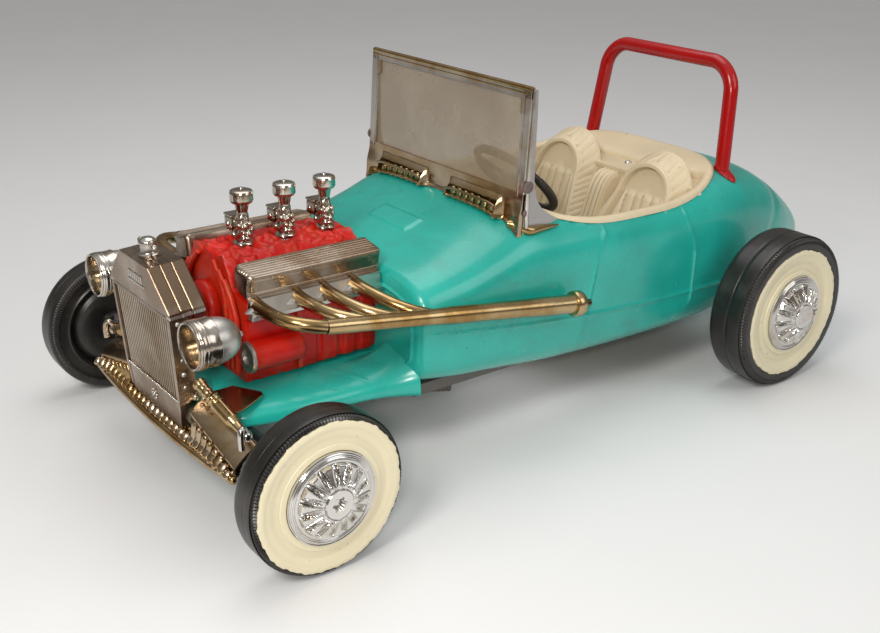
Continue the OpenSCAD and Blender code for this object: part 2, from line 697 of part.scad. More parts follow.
// a tube of radius r along a smooth curve through four control points
function bez(p, t) = pow(1 - t, 3) * p[0] + 3 * t * pow(1 - t, 2) * p[1] + 3 * t * t * (1 - t) * p[2] + pow(t, 3) * p[3];
function unit(v) = v / norm(v);
module bent_tube(p, r0, r1, steps) {
    sides = 12;
    skin_over([for (i = [0 : steps]) let (
            t = i / steps, c = bez(p, t), d = unit(bez(p, min(t + 0.01, 1)) - bez(p, max(t - 0.01, 0))),
            u = unit(cross(d, [0, 0, 1])), v = cross(u, d), r = r0 + (r1 - r0) * t)
        [for (j = [0 : sides - 1]) c + r * (cos(360 * j / sides) * u + sin(360 * j / sides) * v)]]);
}
port_y = [34, 92, 132, 176];       // the four exhaust ports
pipe_joins = [0.12, 0.26, 0.36, 0.46]; // where each pipe meets the collector
collector_start = [200, 22, 257];
collector_end = [229, 456, 201.5];
module exhaust_header(side) {
    run = collector_end - collector_start;
    color(gold_c) on_side(side) resize([0, 0, 0]) union() {
        // flange plate on the head
        translate([104.6, 24, 240]) rotate([0, -14, 0]) cube([5, engine_y1 - 26, 20]);
        for (i = [0 : 3]) let (
                y = port_y[i],
                on_pipe = collector_start + run * pipe_joins[i])
            bent_tube([[107, y, 252], [150, y + 4, 252], [on_pipe[0] - 12, on_pipe[1] - 50, on_pipe[2] + 7], on_pipe],
                8.5, 8.5, 9);
        bent_tube([collector_start, collector_start + run / 3, collector_start + run * 2 / 3, collector_end],
            9.5, 13.5, 6);
        bent_tube([collector_end, collector_end + run * 0.012, collector_end + run * 0.024, collector_end + run * 0.036],
            17.5, 17.5, 2);
        bent_tube([collector_end, collector_end + run * 0.02, collector_end + run * 0.04, collector_end + run * 0.075],
            6, 5, 2);
    }
}

carb_y = [75, 138, 200];
module carburettor(i) {
    color(chrome_c) translate([0, carb_y[i], 299]) {
        box(-17, 17, -15, 15, 0, 6);
        translate([0, 0, 6]) cylinder(r = 11, h = 26);
        box(-30, -4, -11, 11, 14, 36);
        translate([8, 0, 20]) cylinder(r = 10, h = 14);
        translate([0, 0, 32]) cylinder(r = 9, h = 14);
        translate([0, 0, 46]) cylinder(r = 7, h = 8);
    }
}
module air_cleaners() {
    color(chrome_c) for (y = carb_y) translate([0, y, 353]) rotate_extrude() polygon([
        [0, 0], [9, 0], [14.5, 2], [15.5, 5], [14.5, 8], [15.5, 11], [15.5, 16], [12, 18.5], [0, 20]]);
}

// ---- what is drawn -----------------------------------------------------

from_axle() body_shell();
from_axle() seat_insert();
from_axle() frame_rail(1);  // frame_rail_left
from_axle() frame_rail(-1);  // frame_rail_right
from_axle() engine_bearers();
from_axle() front_crossmember();
from_axle() seat_crossmember();
from_axle() rear_crossmember();
from_axle() front_axle_beam();
from_axle() rear_axle_bearings();
from_axle() pedal_pivot_rod();
from_axle() steering_bracket();
from_axle() roll_bar();
from_axle() screws();
from_axle() windshield_frame();
from_axle() windshield_pane();
from_axle() radiator_shell();
from_axle() radiator_grille();
from_axle() radiator_cap();
from_axle() headlight_bucket(1);  // headlight_bucket_left
from_axle() headlight_bucket(-1);  // headlight_bucket_right
from_axle() headlight_ring(1);  // headlight_ring_left
from_axle() headlight_ring(-1);  // headlight_ring_right
from_axle() front_pan();
from_axle() bumper_bar();
from_axle() shock_absorber(1);  // shock_absorber_left
from_axle() shock_absorber(-1);  // shock_absorber_right
from_axle() engine_block();
from_axle() valve_cover(1);  // valve_cover_left
from_axle() valve_cover(-1);  // valve_cover_right
from_axle() exhaust_header(1);  // exhaust_header_left
from_axle() exhaust_header(-1);  // exhaust_header_right
from_axle() carburettor(0);  // carburettor_front
from_axle() carburettor(1);  // carburettor_middle
from_axle() carburettor(2);  // carburettor_rear
from_axle() air_cleaners();
from_axle() steering_wheel();
from_axle() steering_shaft();
from_axle() tie_rod();
from_axle() spindle(1);  // spindle_left
from_axle() spindle(-1);  // spindle_right
from_axle() front_tyre(1);  // front_tyre_left
from_axle() front_whitewall(1);  // front_whitewall_left
from_axle() front_hubcap(1);  // front_hubcap_left
from_axle() front_tyre(-1);  // front_tyre_right
from_axle() front_whitewall(-1);  // front_whitewall_right
from_axle() front_hubcap(-1);  // front_hubcap_right
from_axle() rear_tyre(1);  // rear_tyre_left
from_axle() rear_whitewall(1);  // rear_whitewall_left
from_axle() rear_hubcap(1);  // rear_hubcap_left
from_axle() rear_tyre(-1);  // rear_tyre_right
from_axle() rear_whitewall(-1);  // rear_whitewall_right
from_axle() rear_hubcap(-1);  // rear_hubcap_right
from_axle() rear_axle_crank();
from_axle() drive_rod(1);  // drive_rod_left
from_axle() drive_rod(-1);  // drive_rod_right
from_axle() pedal_arm(1);  // pedal_arm_left
from_axle() pedal_arm(-1);  // pedal_arm_right
from_axle() pedal_pad(1);  // pedal_pad_left
from_axle() pedal_pad(-1);  // pedal_pad_right
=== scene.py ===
# %% [markdown]
# # A child's pedal car in hot-rod style
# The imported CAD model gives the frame: where every piece sits, how big it is and how it moves.
# This notebook adds the looks: moulded plastic, worn plating, painted whitewalls and a stained
# cream seat. It starts with the modules and the frame itself.

# %% Load the frame
import json
import math

import bpy
import numpy as np
from mathutils import Matrix, Vector

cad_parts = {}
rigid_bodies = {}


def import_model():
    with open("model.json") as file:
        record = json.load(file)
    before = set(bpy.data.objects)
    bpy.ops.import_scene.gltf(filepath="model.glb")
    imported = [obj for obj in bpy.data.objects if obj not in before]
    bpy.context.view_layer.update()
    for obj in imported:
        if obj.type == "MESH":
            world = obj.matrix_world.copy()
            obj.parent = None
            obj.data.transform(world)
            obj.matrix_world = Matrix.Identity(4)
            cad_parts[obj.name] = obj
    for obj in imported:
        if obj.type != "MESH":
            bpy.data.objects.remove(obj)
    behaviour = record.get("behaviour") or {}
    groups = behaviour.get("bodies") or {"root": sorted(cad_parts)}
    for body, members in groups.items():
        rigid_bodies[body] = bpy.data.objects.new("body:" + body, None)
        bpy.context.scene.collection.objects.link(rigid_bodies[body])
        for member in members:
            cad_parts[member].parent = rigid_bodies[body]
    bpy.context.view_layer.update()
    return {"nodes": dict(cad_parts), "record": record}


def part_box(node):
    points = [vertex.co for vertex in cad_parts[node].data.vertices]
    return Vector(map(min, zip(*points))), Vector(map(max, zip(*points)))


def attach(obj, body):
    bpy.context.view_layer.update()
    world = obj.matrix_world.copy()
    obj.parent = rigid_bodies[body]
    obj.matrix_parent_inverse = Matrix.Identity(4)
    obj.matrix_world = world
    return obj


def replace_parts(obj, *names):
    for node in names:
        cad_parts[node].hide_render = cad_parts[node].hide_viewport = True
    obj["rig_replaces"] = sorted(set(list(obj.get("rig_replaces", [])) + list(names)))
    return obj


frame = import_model()
nodes = frame["nodes"]

# %% [markdown]
# ## Millimetres behind the front axle
# The car is easiest to describe in millimetres, with y counted backwards from the front axle.
# The front tyre's box gives the axle, so that the whole description follows the frame.

# %% Driving sizes from the frame
MM = 0.001


def span(node):
    """Lowest and highest corner of a CAD node in millimetres."""
    low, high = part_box(node)
    return np.array(low) / MM, np.array(high) / MM


front_low, front_high = span("front_tyre_left")
rear_low, rear_high = span("rear_tyre_left")
axle_y = (front_low[1] + front_high[1]) / 2
FRONT_R = front_high[2] / 2
REAR_R = rear_high[2] / 2
WHEELBASE = (rear_low[1] + rear_high[1]) / 2 - axle_y
FRONT_FACE, FRONT_W = 329.0, 47.0  # the tyre's outer face from the car's middle, and its width
REAR_FACE, REAR_W = 311.0, 67.0
TAIL_Y = span("body_shell")[1][1] - axle_y
HANDS = (("left", 1), ("right", -1))
print("front wheel radius", round(FRONT_R, 1), "rear", round(REAR_R, 1), "wheelbase", round(WHEELBASE, 1))


def in_frame(points):
    """Points in car millimetres, moved to the frame's metres."""
    return (np.asarray(points, float) + np.array([0, axle_y, 0])) * MM


# %% [markdown]
# ## The camera
# The view is a little above the car, from its front left corner, as a grown-up who kneels beside
# it would see it. A camera is a place, three directions and a focal length.

# %% Camera
CAMERA_AT = np.array([1291.4, -589.6, 791.3])
AZIMUTH, ELEVATION, ROLL = (math.radians(a) for a in (52.48, 22.49, 1.06))
LENS = 47.05

back = Vector((math.sin(AZIMUTH) * math.cos(ELEVATION), -math.cos(AZIMUTH) * math.cos(ELEVATION),
               math.sin(ELEVATION)))
right = Vector((math.cos(AZIMUTH), math.sin(AZIMUTH), 0))
up = back.cross(right)
turned_right = right * math.cos(ROLL) + up * math.sin(ROLL)
turned_up = up * math.cos(ROLL) - right * math.sin(ROLL)
camera_data = bpy.data.cameras.new("camera")
camera_data.lens = LENS
camera_data.sensor_width = 36
camera_data.clip_start = 0.01
camera = bpy.data.objects.new("camera", camera_data)
bpy.context.scene.collection.objects.link(camera)
camera.matrix_world = Matrix.Translation(in_frame(CAMERA_AT)) @ Matrix(
    (turned_right, turned_up, back)).transposed().to_4x4()
bpy.context.scene.camera = camera

# %% [markdown]
# ## Floor and light
# A pale floor, a large soft light from the front left and a weaker one from the right. The world
# is brighter above than at the horizon, so that plated parts have something to mirror.

# %% Floor, lamps and world


def soft_light(name, at, aim, size, power, colour=(1, 1, 1)):
    """A square area light at one point, turned towards another."""
    lamp = bpy.data.lights.new(name, "AREA")
    lamp.shape = "SQUARE"
    lamp.size = size
    lamp.energy = power
    lamp.color = colour
    thing = bpy.data.objects.new(name, lamp)
    bpy.context.scene.collection.objects.link(thing)
    thing.location = at
    thing.rotation_euler = (Vector(aim) - Vector(at)).to_track_quat("-Z", "Y").to_euler()


soft_light("key", (1.1, -2.0, 1.9), (0, 0, 0.2), 0.7, 30, (1.0, 0.97, 0.93))
soft_light("near", (1.45, -1.35, 0.95), (0, 0, 0.2), 0.16, 9, (1.0, 0.97, 0.93))
soft_light("fill", (2.4, 1.2, 1.8), (0, 0.1, 0.2), 1.6, 16, (0.95, 0.98, 1.0))
soft_light("top", (-0.6, 0.2, 2.6), (0, 0, 0.2), 1.8, 18)

floor_mesh = bpy.data.meshes.new("floor")
floor_mesh.from_pydata([(-9, -9, 0), (9, -9, 0), (9, 9, 0), (-9, 9, 0)], [], [(0, 1, 2, 3)])
floor = bpy.data.objects.new("floor", floor_mesh)
bpy.context.scene.collection.objects.link(floor)

world = bpy.data.worlds.new("studio")
bpy.context.scene.world = world
world.use_nodes = True
sky = world.node_tree
sky.nodes.clear()
sky_out, sky_back, sky_ramp, sky_split, sky_way = (sky.nodes.new("ShaderNode" + kind) for kind in (
    "OutputWorld", "Background", "ValToRGB", "SeparateXYZ", "TexCoord"))
sky_back.inputs["Strength"].default_value = 0.62
SKY_STOPS = ((0.42, (0.30, 0.28, 0.26, 1)), (0.95, (1, 1, 1, 1)))
for stop, (position, shade) in zip(sky_ramp.color_ramp.elements, SKY_STOPS):
    stop.position = position
    stop.color = shade
for source, target in ((sky_way.outputs["Generated"], sky_split.inputs[0]),
                       (sky_split.outputs["Z"], sky_ramp.inputs[0]),
                       (sky_ramp.outputs[0], sky_back.inputs["Color"]),
                       (sky_back.outputs[0], sky_out.inputs[0])):
    sky.links.new(source, target)
bpy.context.scene.view_settings.view_transform = "Standard"

# %% [markdown]
# ## Finishes
# Every finish is one Principled shader. Its colour, roughness and bump come from noise in object
# coordinates, so the pattern stays on the piece when it moves. `Finish` keeps the few node calls
# that all of them share in one place.

# %% A small helper for node materials


class Finish:
    """One material: a Principled shader and short calls that feed it patterns."""

    def __init__(self, name, metallic=0.0, roughness=0.4, colour=(0.5, 0.5, 0.5)):
        self.material = bpy.data.materials.new(name)
        self.material.use_nodes = True
        self.tree = self.material.node_tree
        self.shader = self.tree.nodes["Principled BSDF"]
        self.set("Metallic", metallic)
        self.set("Roughness", roughness)
        self.set("Base Color", (*colour, 1))
        self.place = self.tree.nodes.new("ShaderNodeTexCoord").outputs["Object"]

    def set(self, socket, value):
        self.shader.inputs[socket].default_value = value

    def link(self, source, target):
        self.tree.links.new(source, target)

    def noise(self, scale, detail=4.0, rough=0.55, stretch=(1, 1, 1), distortion=0.0):
        """Noise in object space; scale is in lumps per metre."""
        mapping = self.tree.nodes.new("ShaderNodeMapping")
        mapping.inputs["Scale"].default_value = stretch
        self.link(self.place, mapping.inputs["Vector"])
        node = self.tree.nodes.new("ShaderNodeTexNoise")
        node.inputs["Scale"].default_value = scale
        node.inputs["Detail"].default_value = detail
        node.inputs["Roughness"].default_value = rough
        node.inputs["Distortion"].default_value = distortion
        self.link(mapping.outputs[0], node.inputs["Vector"])
        return node.outputs["Fac"]

    def ramp(self, value, *stops):
        """A colour ramp; each stop is (position, grey or colour)."""
        node = self.tree.nodes.new("ShaderNodeValToRGB")
        cells = node.color_ramp.elements
        while len(cells) < len(stops):
            cells.new(0.5)
        for cell, (position, shade) in zip(cells, stops):
            cell.position = position
            shade = (shade, shade, shade) if isinstance(shade, (int, float)) else shade
            cell.color = (*shade, 1)
        self.link(value, node.inputs[0])
        return node.outputs[0]

    def mix(self, amount, first, second):
        """first where amount is 0, second where it is 1; each is a colour or a socket."""
        node = self.tree.nodes.new("ShaderNodeMix")
        node.data_type = "RGBA"
        sockets = [s for s in node.inputs if s.enabled]
        for socket, value in zip(sockets, (amount, first, second)):
            if hasattr(value, "links"):
                self.link(value, socket)
            elif isinstance(value, (int, float)):
                socket.default_value = value
            else:
                socket.default_value = (*value, 1)
        return [s for s in node.outputs if s.enabled][0]

    def stain(self, base, colour, start, end, amount, scale, **noise):
        """base with a colour laid over it: none where noise is below start, amount above end."""
        return self.mix(self.ramp(self.noise(scale, **noise), (start, 0.0), (end, amount)), base, colour)

    def product(self, first, second):
        """Two patterns, or a pattern and a number, multiplied."""
        node = self.tree.nodes.new("ShaderNodeMath")
        node.operation = "MULTIPLY"
        self.link(first, node.inputs[0])
        if hasattr(second, "links"):
            self.link(second, node.inputs[1])
        else:
            node.inputs[1].default_value = second
        return node.outputs[0]

    def edges(self, low=0.50, high=0.58):
        """White along convex edges, for wear."""
        geometry = self.tree.nodes.new("ShaderNodeNewGeometry")
        return self.ramp(geometry.outputs["Pointiness"], (low, 0.0), (high, 1.0))

    def hollows(self, low=0.42, high=0.5):
        """White in creases, for dirt."""
        geometry = self.tree.nodes.new("ShaderNodeNewGeometry")
        return self.ramp(geometry.outputs["Pointiness"], (low, 1.0), (high, 0.0))

    def colour(self, source):
        self.link(source, self.shader.inputs["Base Color"])

    def roughness(self, value, low, high):
        """Roughness between two limits along a pattern."""
        node = self.tree.nodes.new("ShaderNodeMapRange")
        node.inputs["To Min"].default_value = low
        node.inputs["To Max"].default_value = high
        self.link(value, node.inputs["Value"])
        self.link(node.outputs[0], self.shader.inputs["Roughness"])

    def bump(self, value, depth, strength=0.5):
        """Fine relief; depth is in metres."""
        node = self.tree.nodes.new("ShaderNodeBump")
        node.inputs["Distance"].default_value = depth
        node.inputs["Strength"].default_value = strength
        self.link(value, node.inputs["Height"])
        self.link(node.outputs[0], self.shader.inputs["Normal"])


# %% [markdown]
# ### Turquoise body plastic
# Old moulded plastic: a clear glossy colour, cloudier and darker where hands and shoes have been,
# with a few dark scuffs and pin-prick dirt.

# %% Turquoise plastic


def turquoise_plastic():
    f = Finish("turquoise_plastic", roughness=0.24, colour=(0.02, 0.42, 0.36))
    clouds = f.ramp(f.noise(5.0, detail=5, rough=0.6), (0.30, (0.010, 0.33, 0.27)), (0.62, (0.018, 0.45, 0.37)))
    grimy = f.stain(clouds, (0.045, 0.20, 0.17), 0.55, 0.78, 0.55, 9.0, detail=6, rough=0.7, distortion=0.6)
    specked = f.stain(grimy, (0.02, 0.06, 0.05), 0.74, 0.78, 0.8, 130.0, detail=2)
    f.colour(f.stain(specked, (0.012, 0.10, 0.09), 0.68, 0.74, 0.5, 22.0, detail=3, stretch=(1, 4, 9),
                     distortion=1.5))
    f.roughness(f.noise(14.0, detail=5), 0.16, 0.36)
    f.bump(f.noise(26.0, detail=3), 0.0006, 0.35)
    f.set("Coat Weight", 0.25)
    f.set("Coat Roughness", 0.12)
    return f.material


# %% [markdown]
# ### Worn plating
# Bright plating on plastic goes brown and gold where it wears. One function makes the silver, the
# brownish and the golden version: two metal colours are mixed by noise, and dirt sits in creases.

# %% Plated finishes


def plating(name, bright, worn, share, rough=(0.10, 0.26), scale=11.0):
    """Metal that goes from the bright colour to the worn one over a share of its surface."""
    f = Finish(name, metallic=1.0, roughness=0.18, colour=bright)
    patchy = f.stain(bright, worn, 0.62 - 0.4 * share, 0.80 - 0.4 * share, 1.0, scale,
                     detail=6, rough=0.65, distortion=0.4)
    dirty = f.mix(f.product(f.hollows(0.43, 0.495), 0.7), patchy, tuple(0.35 * c for c in worn))
    f.colour(f.stain(dirty, (0.10, 0.06, 0.035), 0.70, 0.76, 0.7, 220.0, detail=2))
    f.roughness(f.noise(28.0, detail=6, rough=0.7), *rough)
    f.bump(f.noise(60.0, detail=4), 0.0004, 0.3)
    return f.material


# %% [markdown]
# ### Red engine enamel, cream plastic, rubber and the rest
# Each is the same idea with other patterns: the engine's red is rubbed to orange-brown on its
# ridges, the cream has brown stains in its creases, and dust greys the tyres' black.

# %% Enamel, cream, rubber, glass and steel


def engine_red():
    f = Finish("engine_red", roughness=0.3, colour=(0.55, 0.01, 0.005))
    base = f.ramp(f.noise(18.0, detail=5), (0.35, (0.42, 0.003, 0.001)), (0.65, (0.62, 0.008, 0.002)))
    wear = f.product(f.ramp(f.noise(45.0, detail=6, rough=0.75), (0.54, 0.0), (0.66, 0.8)),
                     f.ramp(f.noise(12.0, detail=2), (0.50, 0.0), (0.60, 1.0)))
    base = f.mix(wear, base, (0.30, 0.09, 0.03))
    f.colour(f.mix(f.product(f.edges(), 0.20), base, (0.45, 0.12, 0.04)))
    f.roughness(f.noise(30.0, detail=4), 0.24, 0.46)
    f.bump(f.noise(70.0, detail=3), 0.0006, 0.3)
    f.set("Specular IOR Level", 0.32)
    return f.material


def cream_plastic(name="cream_plastic", base=(0.72, 0.60, 0.40), stain=(0.34, 0.20, 0.09), rough=(0.28, 0.5)):
    f = Finish(name, roughness=0.4, colour=base)
    tone = f.ramp(f.noise(9.0, detail=5), (0.3, tuple(0.90 * c for c in base)), (0.7, base))
    tone = f.mix(f.product(f.hollows(0.44, 0.50), 0.55), tone, stain)
    smear = tuple(0.6 * a + 0.4 * b for a, b in zip(stain, base))
    tone = f.stain(tone, smear, 0.60, 0.80, 0.35, 16.0, detail=6, rough=0.7, distortion=0.8)
    f.colour(f.stain(tone, (0.12, 0.08, 0.05), 0.73, 0.78, 0.6, 150.0, detail=2))
    f.roughness(f.noise(20.0, detail=4), *rough)
    f.bump(f.noise(90.0, detail=3), 0.0003, 0.3)
    return f.material


def tyre_black():
    f = Finish("tyre_black", roughness=0.3, colour=(0.012, 0.011, 0.010))
    dust = f.ramp(f.noise(20.0, detail=5), (0.45, (0.010, 0.009, 0.008)), (0.75, (0.030, 0.026, 0.022)))
    f.colour(f.mix(f.product(f.edges(0.51, 0.60), 0.2), dust, (0.07, 0.06, 0.05)))
    f.roughness(f.noise(35.0, detail=5), 0.20, 0.42)
    f.bump(f.noise(160.0, detail=2), 0.0002, 0.3)
    return f.material


def plain_paint(name, colour, worn, rough=(0.2, 0.4)):
    """Painted or turned metal with faint cloudiness and rubbed edges."""
    f = Finish(name, roughness=rough[0], colour=colour)
    tone = f.ramp(f.noise(24.0, detail=5), (0.3, tuple(0.8 * c for c in colour)), (0.7, colour))
    f.colour(f.mix(f.product(f.edges(0.52, 0.6), 0.5), tone, worn))
    f.roughness(f.noise(40.0, detail=4), *rough)
    f.bump(f.noise(120.0, detail=2), 0.0002, 0.25)
    return f.material


def smoked_pane():
    f = Finish("smoked_pane", roughness=0.12, colour=(0.34, 0.26, 0.17))
    f.colour(f.ramp(f.noise(7.0, detail=6, rough=0.6), (0.35, (0.40, 0.32, 0.22)), (0.7, (0.27, 0.19, 0.11))))
    f.set("Alpha", 0.60)
    f.roughness(f.noise(30.0, detail=5), 0.08, 0.3)
    f.bump(f.noise(12.0, detail=2), 0.0006, 0.25)
    return f.material


def floor_paint():
    f = Finish("floor_paint", roughness=0.7, colour=(0.80, 0.80, 0.79))
    f.colour(f.ramp(f.noise(3.0), (0.3, 0.78), (0.7, 0.80)))
    return f.material


BRIGHT, BROWN, GOLD = (0.62, 0.59, 0.54), (0.36, 0.26, 0.18), (0.50, 0.33, 0.14)
FINISHES = {
    "body_paint": turquoise_plastic(),
    "cream_plastic": cream_plastic(),
    "whitewall": cream_plastic("whitewall_paint", (0.80, 0.72, 0.50), (0.45, 0.34, 0.20), (0.35, 0.5)),
    "plated_silver": plating("plated_silver", BRIGHT, (0.46, 0.38, 0.30), 0.5),
    "plated_bright": plating("plated_bright", (0.72, 0.70, 0.67), (0.48, 0.40, 0.32), 0.2, (0.08, 0.2)),
    "plated_brown": plating("plated_brown", (0.42, 0.34, 0.27), (0.26, 0.18, 0.12), 0.6, (0.2, 0.36)),
    "plated_gold": plating("plated_gold", (0.52, 0.38, 0.20), (0.34, 0.20, 0.07), 0.5, (0.14, 0.3)),
    "plated_worn": plating("plated_worn", (0.56, 0.47, 0.35), (0.40, 0.26, 0.12), 0.6, (0.16, 0.32), 7.0),
    "screen_flange": plating("screen_flange", (0.50, 0.48, 0.47), (0.42, 0.31, 0.20), 0.35, (0.34, 0.48), 9.0),
    "plated_tan": plating("plated_tan", (0.50, 0.43, 0.35), (0.36, 0.28, 0.20), 0.45, (0.26, 0.40), 8.0),
    "satin_silver": plating("satin_silver", (0.60, 0.58, 0.55), (0.42, 0.38, 0.33), 0.3, (0.3, 0.45)),
    "engine_red": engine_red(),
    "roll_bar_red": plain_paint("roll_bar_red", (0.42, 0.002, 0.002), (0.50, 0.01, 0.006), (0.14, 0.24)),
    "smoked_pane": smoked_pane(),
    "tyre_black": tyre_black(),
    # grip_black is the steering wheel's own black, and also the painted shade on the plate behind the radiator grille
    "grip_black": plain_paint("grip_black", (0.030, 0.022, 0.016), (0.10, 0.08, 0.06), (0.3, 0.5)),
    "knob_brown": plain_paint("knob_brown", (0.13, 0.09, 0.08), (0.22, 0.16, 0.14), (0.3, 0.5)),
    "frame_steel": plain_paint("frame_enamel", (0.018, 0.018, 0.020), (0.20, 0.17, 0.15), (0.25, 0.45)),
    "bright_steel": plating("bright_steel", (0.50, 0.49, 0.48), (0.36, 0.30, 0.25), 0.3, (0.2, 0.35)),
}
floor_mesh.materials.append(floor_paint())
print(len(FINISHES), "finishes")

# %% [markdown]
# ## Surfaces from arrays
# Every new shape is a grid of points worked out at once. A turned part is a profile carried round
# an axis, a pipe is a circle carried along a path, and a plate is an outline with some depth.
# Closed parts are collected in a `Shape`, which turns each one right side out by its volume.

# %% Grids, turned parts, pipes and plates


def joined(*parts):
    """Numbers and arrays, broadcast together and joined along a new last axis."""
    return np.stack(np.broadcast_arrays(*parts), -1)


def full_turn(count):
    """Angles at an even distance round a circle."""
    return np.linspace(0, 2 * np.pi, count, endpoint=False)


def grid_faces(rows, columns, around=False, closed=False):
    """Quads between the points of a rows x columns grid; around joins the last column to the
    first, closed joins the last row to the first."""
    i, j = np.indices((rows - (not closed), columns - (not around))).reshape(2, -1)
    below, beside = (i + 1) % rows, (j + 1) % columns
    return joined(i * columns + j, i * columns + beside, below * columns + beside, below * columns + j)


def volume(points, faces):
    """Signed volume: the sum over the quads' halves of a . (b x c) / 6."""
    a, b, c, d = (points[faces[:, k]] for k in range(4))
    return (np.einsum("ij,ij->", a, np.cross(b, c)) + np.einsum("ij,ij->", a, np.cross(c, d))) / 6


class Shape:
    """Closed parts of one piece, in car millimetres."""

    def __init__(self):
        self.points, self.faces, self.paint, self.count = [], [], [], 0

    def add(self, points, faces, paint=0, turn=True):
        """Adds quads; a closed part whose volume is negative is turned right side out."""
        points, faces = np.asarray(points, float).reshape(-1, 3), np.asarray(faces)
        if faces.shape[1] == 3:
            faces = np.hstack([faces, faces[:, 2:]])
        if turn and volume(points - points.mean(0), faces) < 0:
            faces = faces[:, ::-1]
        self.points.append(points)
        self.faces.append(faces + self.count)
        self.paint.append(np.full(len(faces), paint))
        self.count += len(points)
        return self

    def rings(self, rings, paint=0, loop=False):
        """A skin over rings of equal length; flat fans close both ends unless the rings loop."""
        rings = np.asarray(rings, float)
        rows, columns = rings.shape[:2]
        points = rings.reshape(-1, 3)
        faces = grid_faces(rows, columns, around=True, closed=loop)
        if not loop:
            points = np.vstack([points, rings[0].mean(0), rings[-1].mean(0)])
            j = np.arange(columns)
            beside = (j + 1) % columns
            first, last, top = rows * columns, rows * columns + 1, (rows - 1) * columns
            faces = np.vstack([faces, joined(first, first, beside, j),
                               joined(last, last, top + j, top + beside)])
        return self.add(points, faces, paint)

    def turned(self, profile, place, paint=0, steps=64, wave=None):
        """A closed profile of (radius, height) pairs carried round an axis. place maps (x, y, h)
        arrays to car millimetres; wave(radius, height, angle) may move the surface."""
        profile = np.asarray(profile, float)
        radius, height, angle = np.broadcast_arrays(profile[:, :1], profile[:, 1:], full_turn(steps))
        if wave is not None:
            radius, height = wave(radius, height, angle)
        points = place(radius * np.cos(angle), radius * np.sin(angle), height)
        return self.add(points.reshape(-1, 3), grid_faces(len(profile), steps, around=True, closed=True), paint)

    def pipe(self, path, radius, paint=0, sides=16, flat=1.0, loop=False):
        """A circle carried along a path; the circle's first arm stays as level as it can."""
        path = np.asarray(path, float)
        along = np.gradient(path, axis=0)
        if loop:
            along = np.roll(path, -1, 0) - np.roll(path, 1, 0)
        along /= np.linalg.norm(along, axis=1)[:, None]
        reference = np.array([0.0, 0.0, 1.0]) if np.abs(along[:, 2]).max() < 0.95 else np.array([0.0, 1.0, 0.0])
        arm = np.cross(along, reference)
        arm /= np.linalg.norm(arm, axis=1)[:, None]
        other = np.cross(along, arm)
        radius = np.broadcast_to(np.asarray(radius, float), (len(path),))[:, None, None]
        turn = full_turn(sides)[None, :, None]
        ring = np.cos(turn) * arm[:, None] + flat * np.sin(turn) * other[:, None]
        return self.rings(path[:, None] + radius * ring, paint, loop)

    def plate(self, outline, low, high, place, paint=0, edge=0.8):
        """An outline with depth from low to high; its rim is chamfered by edge."""
        outline = np.asarray(outline, float)
        centre = outline.mean(0)
        reach = np.linalg.norm(outline - centre, axis=1).max()
        small = centre + (outline - centre) * (1 - edge / reach)
        rings = [place(o[:, 0], o[:, 1], h) for o, h in
                 ((small, low), (outline, low + edge), (outline, high - edge), (small, high))]
        return self.rings(rings, paint)

    def ball(self, centre, radius, paint=0, steps=14, shape=(1, 1, 1)):
        """A sphere of latitude rings, which may be squeezed along each axis."""
        latitude = np.linspace(-np.pi / 2, np.pi / 2, steps)[1:-1, None]
        turn = full_turn(2 * steps)[None, :]
        ring = joined(np.cos(latitude) * np.cos(turn), np.cos(latitude) * np.sin(turn),
                      np.sin(latitude))
        return self.rings(np.asarray(centre) + radius * ring * np.asarray(shape), paint)

    def make(self, name, node, slot, *finishes, body="chassis", crease=38):
        """The Blender piece that replaces a node: smooth shading, sharp above the crease angle."""
        points = in_frame(np.vstack(self.points))
        faces = np.vstack(self.faces)
        # a quad whose neighbouring corners are the same point is a triangle
        corners = faces != np.roll(faces, 1, axis=1)
        sizes = corners.sum(1)
        mesh = bpy.data.meshes.new(name)
        mesh.vertices.add(len(points))
        mesh.vertices.foreach_set("co", points.ravel())
        mesh.loops.add(int(sizes.sum()))
        mesh.loops.foreach_set("vertex_index", faces[corners].astype(np.int32))
        mesh.polygons.add(len(sizes))
        mesh.polygons.foreach_set("loop_start", (np.cumsum(sizes) - sizes).astype(np.int32))
        mesh.update(calc_edges=True)
        for finish in finishes or [slot]:
            mesh.materials.append(FINISHES[finish])
        mesh.polygons.foreach_set("material_index", np.concatenate(self.paint).astype(np.int32))
        mesh.polygons.foreach_set("use_smooth", np.ones(len(sizes), bool))
        mesh.set_sharp_from_angle(angle=math.radians(crease))
        thing = bpy.data.objects.new(name, mesh)
        bpy.context.scene.collection.objects.link(thing)
        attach(thing, body)
        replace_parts(thing, node)
        print(f"{name}: {int((sizes - 2).sum())} triangles")
        return thing


def smoothstep(low, high, value):
    """0 below low, 1 above high, and a smooth S between."""
    t = np.clip((value - low) / (high - low), 0, 1)
    return t * t * (3 - 2 * t)


def ridge(value, centre, width):
    """A round bump of height 1 where value is near centre."""
    return np.exp(-((value - centre) / width) ** 2)


def lumps(x, y, seed=0.0):
    """Irregular waves between about -1 and 1: five sines whose directions differ."""
    total = 0
    for k in range(5):
        turn = 2.4 * k + seed
        phase = (x * np.cos(turn) + y * np.sin(turn)) * (1 + 0.37 * k) + 3.1 * k + seed
        total = total + np.sin(phase) / (1 + 0.4 * k)
    return total / 2.6


def box_part(shape, low, high, paint=0, edge=0.8):
    """An upright box with a chamfered rim, low and high corner given."""
    (x0, y0, z0), (x1, y1, z1) = low, high
    outline = [(x0, y0), (x1, y0), (x1, y1), (x0, y1)]
    return shape.plate(outline, z0, z1, joined, paint, edge)


